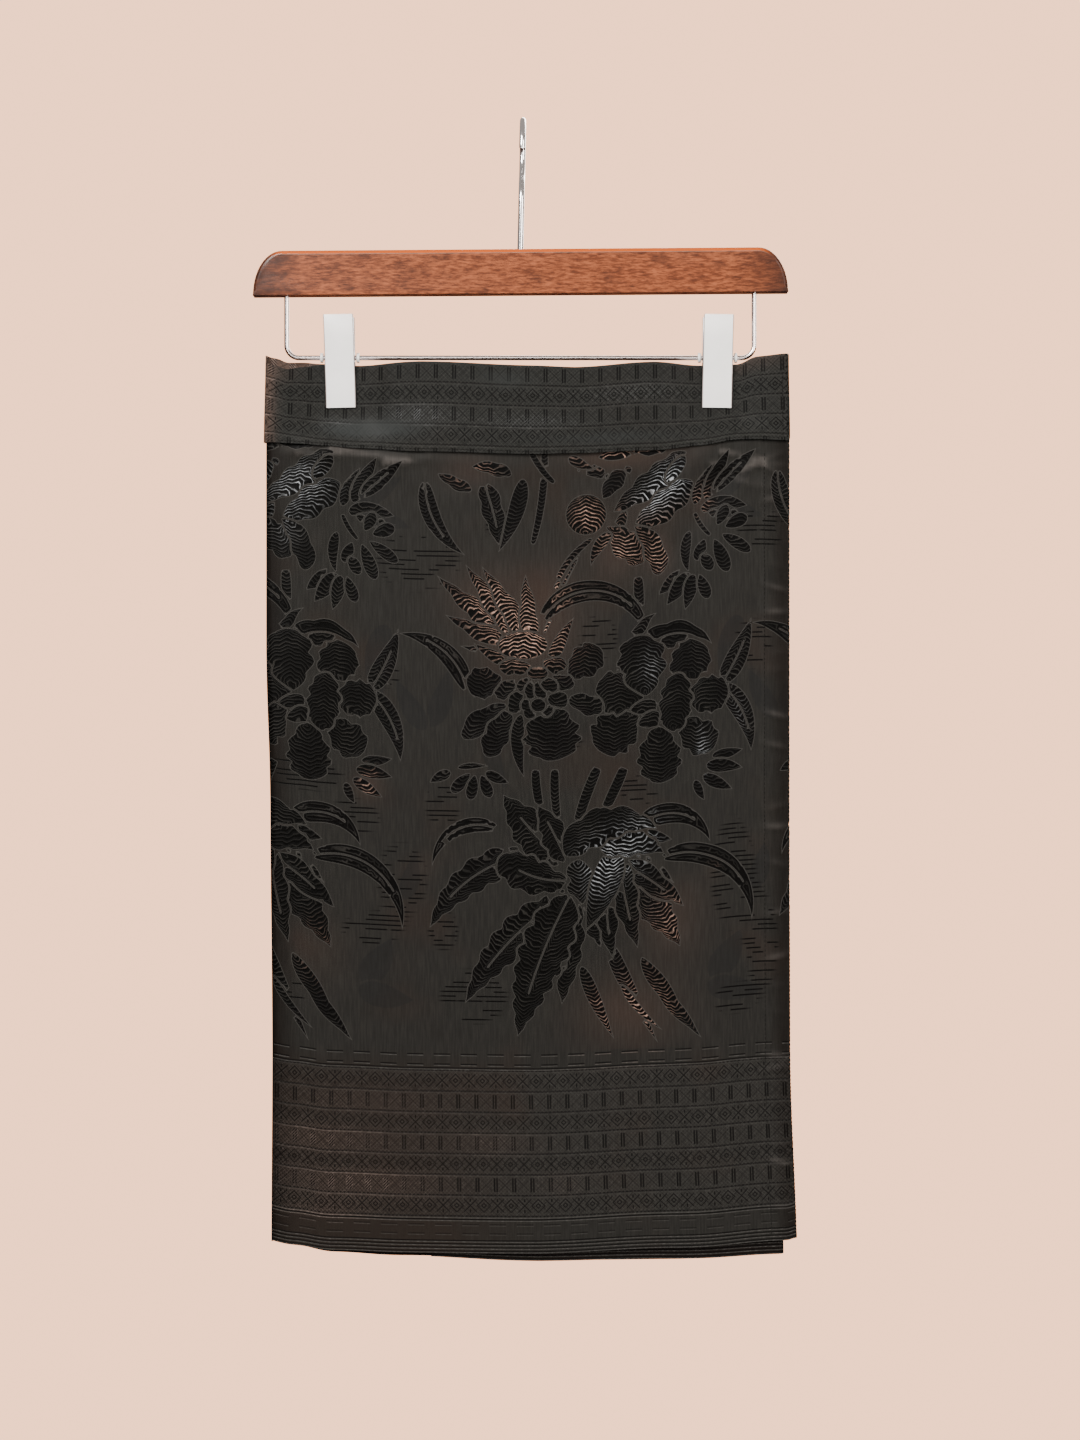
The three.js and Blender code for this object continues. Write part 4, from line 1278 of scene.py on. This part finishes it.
def woven_cloth(material_name, border_first, band=False):
    """The satin jacquard: its figures come from the cut, its border rows from the map."""
    material, surface, place = finish(material_name)
    figure, ghost, warm, cool = (place.mark(name) for name in ("figure", "ghost", "warm", "cool"))
    cut = place.add("ShaderNodeUVMap", {"uv_map": "cut"}, {})
    u = cut.part(0) * 1000
    v = cut.part(1) * 1000

    streaks = speckle(cut, 900, 2, (1, 14, 1))
    patches = speckle(cut, 14, 2)
    field = 1.0 if band else v.rise(134.5, 135.0)
    ground = streaks.rise(0.3, 0.75).tint(ground_low, ground_high)
    ground = (patches.rise(0.5, 0.75) * 0.5).tint(ground, ground_brown)
    ground = (ghost.rise(0.2, 1.2) * 0.45).tint(ground, ghost_tone)
    # a painted copper glow on the ground under the warm glint spots, stronger in the field
    ground = (warm * (field * 0.05 + 0.02)).tint(ground, painted_copper_glow)
    glint = (warm + cool).least(1.0)
    if band:
        # the strip's rows sink a little towards the left fold, and patches of painted sheen hide them;
        # painted copper glints and a peach reflection at the left fold tint its ground
        v = v - u.absolute().rise(44, 2) * 3.6
        dark, pale = border_marks(u, v, border_first, glint)
        smooth = place.mark("smooth").least(1.0)
        shown = 1 - smooth * 0.85
        dark = dark * shown
        pale = pale * shown * 1.15
        ground = (streaks * 0.4 + 0.4).tint(ground, band_ground)
        ground = (smooth * 0.8).tint(ground, band_painted_sheen)
        ground = (warm.least(1.0) * 0.55).tint(ground, band_copper_glow)
    else:
        # browner across the left of the border
        ground = (u.rise(210, 80) * v.rise(140, 110) * 0.65).tint(ground, border_brown)
        # painted shade: darker into the left fold, over the turned edge, and where the back's hem shows
        ground = (u.absolute().rise(24, 1) * 0.8).tint(ground, painted_shade_tone)
        ground = (u.rise(338, 352) * 0.65).tint(ground, painted_shade_tone)
        ground = (v.rise(14, 6) * u.rise(-0.5, -1) * 0.85).tint(ground, painted_shade_tone)
        # the border's rows, with plain lines and dashes below and above them
        dark, pale = border_marks(u, v, border_first, glint)
        rows = v.rise(23.4, 23.6) * v.rise(123.6, 123.4)
        dash = ((u / dash_pitch).fraction() - 0.5).absolute().rise(0.32, 0.29)
        dash = dash * (v.rise(60, 61) * 0.5 + 0.5)
        dashes = lines_at(v, (13.1, 19.2, 126.4, 133.1), 0.3) * dash
        level = lines_at(v, (1.3, 3.7, 6.1, 8.4, 22.6, 123.9), 0.3)
        dark = (dark * rows).greatest(dashes).greatest(level)
        pale_level = lines_at(v, (0.4, 2.8, 5.2, 7.5, 21.6, 23.6, 122.9), 0.15)
        pale_dash = lines_at(v, (12.2, 18.3, 125.5, 132.2), 0.1) * dash
        pale = (pale * rows).greatest(pale_level).greatest(pale_dash)
    # the pale yarn's shine varies with a noise, and it takes painted copper and silver glints under the
    # glint spots
    twinkle = speckle(cut, 420, 1).rise(0.45, 0.7)
    shine = pale * (twinkle * 0.5 + 0.5)
    pale_yarn = warm.least(1.0).tint(yarn_dull, yarn_copper_glint)
    pale_yarn = cool.least(1.0).tint(pale_yarn, yarn_silver_glint)
    tone = (dark * 0.75).tint(ground, black)
    tone = (shine * 0.75).tint(tone, pale_yarn)
    height = streaks * 0.3 - dark * 0.6 + pale * 0.6

    if not band:
        # the figures' ribs: waves across each petal, or along a strongly bent blade
        drift = speckle(cut, 45, 2)
        inside = figure.rise(0.5, 0.95)
        bow = place.mark("bow")
        lengthwise = place.mark("lengthwise")
        zigzag = (u + drift * 14).wave(8) * 1.2
        cross_ribs = (v - bow + drift * 4 + zigzag).wave(cross_rib_pitch)
        long_ribs = (figure + drift * 0.8 + 0.2).wave(long_rib_pitch)
        rib_wave = long_ribs * lengthwise + cross_ribs * (1 - lengthwise)
        rib = rib_wave.rise(0.60, 0.92) * inside
        sparkle = speckle(cut, 260, 2).rise(0.40, 0.66) * 0.7 + 0.3
        rib_tone = drift.rise(0.40, 0.66).tint(rib_low, rib_high)
        # painted copper and silver glints on the ribs under the glint spots, broken up by the sparkle
        rib_tone = (warm * warm * sparkle * (1 - lengthwise * 0.6)).tint(rib_tone, rib_copper_glint)
        rib_tone = (cool * cool * sparkle).tint(rib_tone, rib_silver_glint)
        rim = figure.rise(0.12, 0.3) * figure.rise(0.8, 0.45)

        # short black dashes, in groups on the ground: one in each lane, as long as the noise says
        lane = v / lane_pitch
        drawn = cut.add("ShaderNodeCombineXYZ", {}, {"X": u / 15.0, "Y": lane.calculate("FLOOR") * 3.7})
        length = drawn.add("ShaderNodeTexNoise", {}, {"Vector": drawn, "Scale": 1.0, "Detail": 0.0})
        dashed = lane.fraction().near(0.5, 0.11, 0.09) * length.rise(0.46, 0.49)
        dashed = dashed * place.mark("dashes").rise(0.25, 0.45) * figure.rise(0.1, 0.0)
        # a painted highlight along the ridges of the fine creases near the band and of the puckers
        ridge = place.mark("ridge")
        tone = (ridge * (streaks * 0.5 + 0.4) * 0.48).tint(tone, crease_highlight_tone)
        tone = (rim * field * 0.7).tint(tone, rim_tone)
        tone = (inside * field).tint(tone, black)
        tone = (rib * field).tint(tone, rib_tone)
        tone = (dashed * field).tint(tone, black)
        height = height + rib_wave * inside - dashed * 0.6
    feed(surface, "Base Color", tone)
    feed(surface, "Roughness", streaks * 0.08 + 0.42)
    feed(surface, "Specular IOR Level", 0.04)
    feed(surface, "Normal", bump(place, height, 0.12 * mm))
    return material


# groups of short dashes on the ground, given as the spots above
dash_groups = (
    (226, 412, 16, 18, 1), (105, 463, 34, 24, 1), (336, 477, 20, 16, 1), (253, 309, 16, 14, 1),
    (120, 216, 12, 16, 1), (316, 248, 18, 44, 1), (140, 172, 28, 22, 1), (316, 164, 16, 12, 1),
    (160, 490, 12, 12, 1), (120, 300, 16, 20, 0.8), (330, 400, 16, 20, 1), (60, 290, 20, 14, 1),
    (92, 250, 22, 30, 0.9), (336, 200, 14, 40, 0.9), (200, 345, 20, 12, 0.9),
    (25, 316, 34, 13, 1), (84, 386, 12, 12, 0.8), (20, 168, 20, 12, 0.8), (70, 215, 26, 14, 0.8),
)


def front_relief(cut, placed):
    """How far the front stands out further, and where a painted highlight lies on its ridges: its
    creases, the pull of the waistband's seam, and the puckers that the topstitching draws in along the
    turned edge."""
    u, v = cut[:, 0], cut[:, 1]
    x, z = placed[:, 0], placed[:, 2]
    out = crease_depth(front_creases, x, z)
    out -= seam_dip * np.exp(-((v - wrap_height + 1.5 * mm) / (2.5 * mm)) ** 2)
    out -= stitch_dip * np.exp(-((u - front_stitch_u) / (1.6 * mm)) ** 2)
    across = np.exp(-((u - front_stitch_u - 7 * mm) / (9 * mm)) ** 2)
    puckers = 0 * u
    for k in range(pucker_count):
        level = wrap_height - (16 + pucker_pitch * k + 6 * math.sin(2.4 * k)) * mm
        slant = 0.25 * math.sin(1.3 * k) * (u - front_stitch_u)
        height = (0.42 + 0.3 * math.sin(1.7 * k)) * mm
        puckers += height * across * np.exp(-((v - level - slant) / (2.6 * mm)) ** 2)
    shown = np.where(u > front_width, 0, ease(u, 4 * mm, 14 * mm))
    near_band = ease(v, wrap_height - 60 * mm, wrap_height - 20 * mm)
    fine = front_creases["width"] < 5 * mm
    fine_creases = {key: values[fine] for key, values in front_creases.items()}
    # the painted highlight: on the fine creases near the band, and on the puckers
    folded = np.clip(crease_depth(fine_creases, x, z) / (1.1 * mm), 0, 1) ** 4 * near_band
    ridge = folded + 0.5 * np.clip(puckers / (0.7 * mm), 0, 1) ** 2
    return (out + puckers) * shown, ridge * shown


def on_wrap(side, plan):
    """A stretch's plan, and the heights that its own column of the hem table gives."""
    return plan, lambda v, edge_x: wrap_z(v, edge_x, side)


def wrap_front_plan(u, z):
    return front_plan(u, z, turn_step, 0)


jacquard_cloth = woven_cloth("jacquard", 24.9)
wrap_spacing = 3.0
# columns of points round the left fold and round the turned edge
fold_columns = tuple(fold_arc / mm * share for share in (0.2, 0.4, 0.6, 0.8, 1.0))
turn_shares = (0, 0.2, 0.4, 0.6, 0.8, 1.0)
edge_columns = tuple((front_width + turn_arc * share) / mm for share in turn_shares)
wrap_cut_height = (wrap_height + tuck) / mm
front_cut = cut_corners(
    (front_width + turn_arc + turning) / mm, wrap_cut_height,
    notch=(front_width / mm - 30, wrap_height / mm - 0.3),
)
# close rows of points under the turned edge's puckers
edge_strip = (front_width / mm - 19, front_width / mm + 1, 1.5)
front_jaws = ["clip_left_front_jaw", "clip_right_front_jaw"]
back_jaws = ["clip_left_back_jaw", "clip_right_back_jaw"]
front_along = AlongCloth(0, 1)
back_along = AlongCloth(0, -1)
under_along = AlongCloth(-back_width / mm, -1)
wrap_spots = {"warm": warm_glint_spots, "cool": cool_glint_spots, "dashes": dash_groups}
# each stretch: its corners, its place on the chart, its plan, its columns, its width when cut (the
# turning included) and the jaws that hold it
wrap_stretches = (
    ("front", front_cut, front_along, wrap_front_plan, fold_columns + edge_columns, 0.3734, front_jaws),
    ("back", cut_corners(back_width / mm, wrap_cut_height), back_along, back_plan, fold_columns,
     0.350, back_jaws),
    ("under", cut_corners(under_width / mm, wrap_cut_height), under_along, under_plan, (),
     0.238, ["clip_right_front_jaw"]),
)
for side, corners, along, plan, columns, cut_width, held_by in wrap_stretches:
    strips, relief = ((edge_strip,), front_relief) if side == "front" else ((), None)
    cut = cut_cloth(corners, wrap_spacing, columns, along, strips)
    hanging = on_wrap(side, plan)
    wrap = make_stretch(f"wrap_{side}_cloth", cut, along, *hanging, wall, wrap_spots, relief)
    dress(wrap, jacquard_cloth, "jacquard", f"wrap_{side}")


# ---------------------------------------------------------------- waistband
# A strip of the border cloth, laid over the top of the wrap cloth, folded in at its lower edge
# and topstitched. It follows the wrap round both folds, a little outside it.

band_wall = 1.0 * mm
band_lift = 1.6 * mm
band_step = 1.7 * mm
band_spacing = 2.5


def lifted(plan, lift):
    """The same plan, moved out of the cloth by lift, except past the free front edge."""
    def raised(u, z):
        x, y, edge_x = plan(u, z)
        before = plan(u - 0.2 * mm, z)
        after = plan(u + 0.2 * mm, z)
        run_x, run_y = after[0] - before[0], after[1] - before[1]
        run = np.hypot(run_x, run_y)
        moved = np.where((plan is front_band_plan) & (u > front_width), 0, lift)
        return x + moved * run_y / run, y - moved * run_x / run, edge_x
    return raised


def front_band_plan(u, z):
    return front_plan(u, z, band_step, band_lift)


# the band's painted light, as soft spots: copper glints with a peach reflection at the left fold, silver
# glints, and patches of painted sheen
band_spots = {
    "warm": ((0, 30, 8, 90, 1.3), (-22, 56, 30, 9, 1.3), (330, 58, 30, 8, 0.2)),
    "cool": ((104, 24, 24, 8, 0.7), (54, 16, 16, 6, 0.5), (250, 40, 40, 7, 0.3), (180, 22, 40, 6, 0.35)),
    "smooth": ((82, 15, 34, 8, 1.2), (56, 12, 24, 6, 0.8), (164, 50, 22, 7, 0.6), (236, 10, 60, 5, 0.6)),
}


def on_band(plan, lift, top_column):
    """A stretch's plan out on the band, and the height of its points."""
    return lifted(plan, lift), lambda v, edge_x: band_z(v, edge_x, top_column)


border_cloth = woven_cloth("border_cloth", 4.6, band=True)
band_turn = math.pi * band_step / 2
band_columns = tuple((front_width + band_turn * share) / mm for share in turn_shares)
front_cut_width = (front_width + band_turn + turning) / mm
on_band_front = on_band(front_band_plan, band_lift, "top")
# as for the wrap, with the strip's width in millimetres and how it hangs
band_stretches = (
    ("front", front_cut_width, front_along, on_band_front, fold_columns + band_columns,
     0.3737, front_jaws),
    ("back", back_width / mm, back_along, on_band(back_plan, -band_lift, "back_top"), fold_columns,
     0.350, back_jaws),
    ("under", under_width / mm, under_along, on_band(under_plan, -band_lift, "top"), (),
     0.238, ["clip_right_front_jaw"]),
)
for side, width, along, hanging, columns, cut_width, held_by in band_stretches:
    cut = cut_cloth(cut_corners(width, band_height / mm), band_spacing, columns)
    band = make_stretch(f"waistband_{side}_cloth", cut, along, *hanging, band_wall, band_spots)
    dress(band, border_cloth, "border_cloth", f"waistband_{side}")


# ---------------------------------------------------------------- stitching
# Fine black thread: one line down the turned front edge, one along the lower edge of the
# waistband, and one up the band's own end. Each stitch is a short slack loop of thread.

stitch_length = 2.4 * mm
stitch_thread = 0.5 * mm


def one_stitch():
    """A stitch along X, round and tapering at both ends."""
    nothing_selected()
    along_x = (0, math.pi / 2, 0)
    bpy.ops.mesh.primitive_uv_sphere_add(segments=6, ring_count=6, radius=0.5, rotation=along_x)
    stitch = bpy.context.object
    stitch.scale = (stitch_thread, stitch_thread, stitch_length)
    bpy.ops.object.transform_apply(location=True, rotation=True, scale=True)
    points = np.array([vertex.co for vertex in stitch.data.vertices])
    faces = [tuple(face.vertices) for face in stitch.data.polygons]
    bpy.data.objects.remove(stitch)
    return points, faces


def stitched(name, before, after, lift):
    """Stitches from each point before to the one after it, lift metres out of the cloth."""
    shape, shape_faces = one_stitch()
    outward = np.array((0.0, -1.0, 0.0))
    points, faces = [], []
    for start, end in zip(before, after):
        along_it = (end - start) / np.linalg.norm(end - start)
        aside = np.cross(outward, along_it)
        aside = aside / np.linalg.norm(aside)
        up = np.cross(along_it, aside)
        place = (start + end) / 2 + outward * lift
        first = len(points) * len(shape)
        points.append(place + shape[:, :1] * along_it + shape[:, 1:2] * aside + shape[:, 2:] * up)
        faces += [tuple(i + first for i in face) for face in shape_faces]
    mesh = bpy.data.meshes.new(name)
    mesh.from_pydata(np.concatenate(points).tolist(), [], faces)
    mesh.update()
    piece = new_piece(name, mesh)
    bpy.ops.object.shade_smooth_by_angle(angle=math.radians(60))
    return piece


def black_thread():
    material, surface, place = finish("black_thread")
    twist = speckle(place, 2600, 2, (1, 1, 2))
    feed(surface, "Base Color", twist.tint((0.002, 0.002, 0.002), (0.010, 0.009, 0.008)))
    feed(surface, "Roughness", twist * 0.2 + 0.6)
    feed(surface, "Specular IOR Level", 0.05)
    feed(surface, "Normal", bump(place, twist, 0.05 * mm))
    return material


def seam_line(low, high, step, u=None, v=None):
    """Points of a seam on the flat cut, upright at u or level at v."""
    run = np.arange(low, high, step) * mm
    fixed = np.full(len(run), v if u is None else u)
    return np.stack([run, fixed] if u is None else [fixed, run], axis=1)


thread = black_thread()
wrap_hanging = on_wrap("front", wrap_front_plan)
edge_seam = seam_line(4, 530, 3.1, u=front_stitch_u)
band_seam = seam_line(12, 350, 2.9, v=1.8 * mm)
end_seam = seam_line(3, 58, 3.0, u=350.5 * mm)
seams = (
    ("front_edge_stitches", "jacquard", edge_seam, wrap_hanging, wall),
    ("band_edge_stitches", "border_cloth", band_seam, on_band_front, band_wall),
    ("band_end_stitches", "border_cloth", end_seam, on_band_front, band_wall),
)
for name, slot, line, hanging, thickness in seams:
    placed = hang(line, *hanging)
    if hanging is wrap_hanging:
        placed[:, 1] -= front_relief(line, placed)[0]
    placed[:, 0] += bar_centre_x
    dress(stitched(name, placed[:-1], placed[1:], thickness / 2), thread, slot)
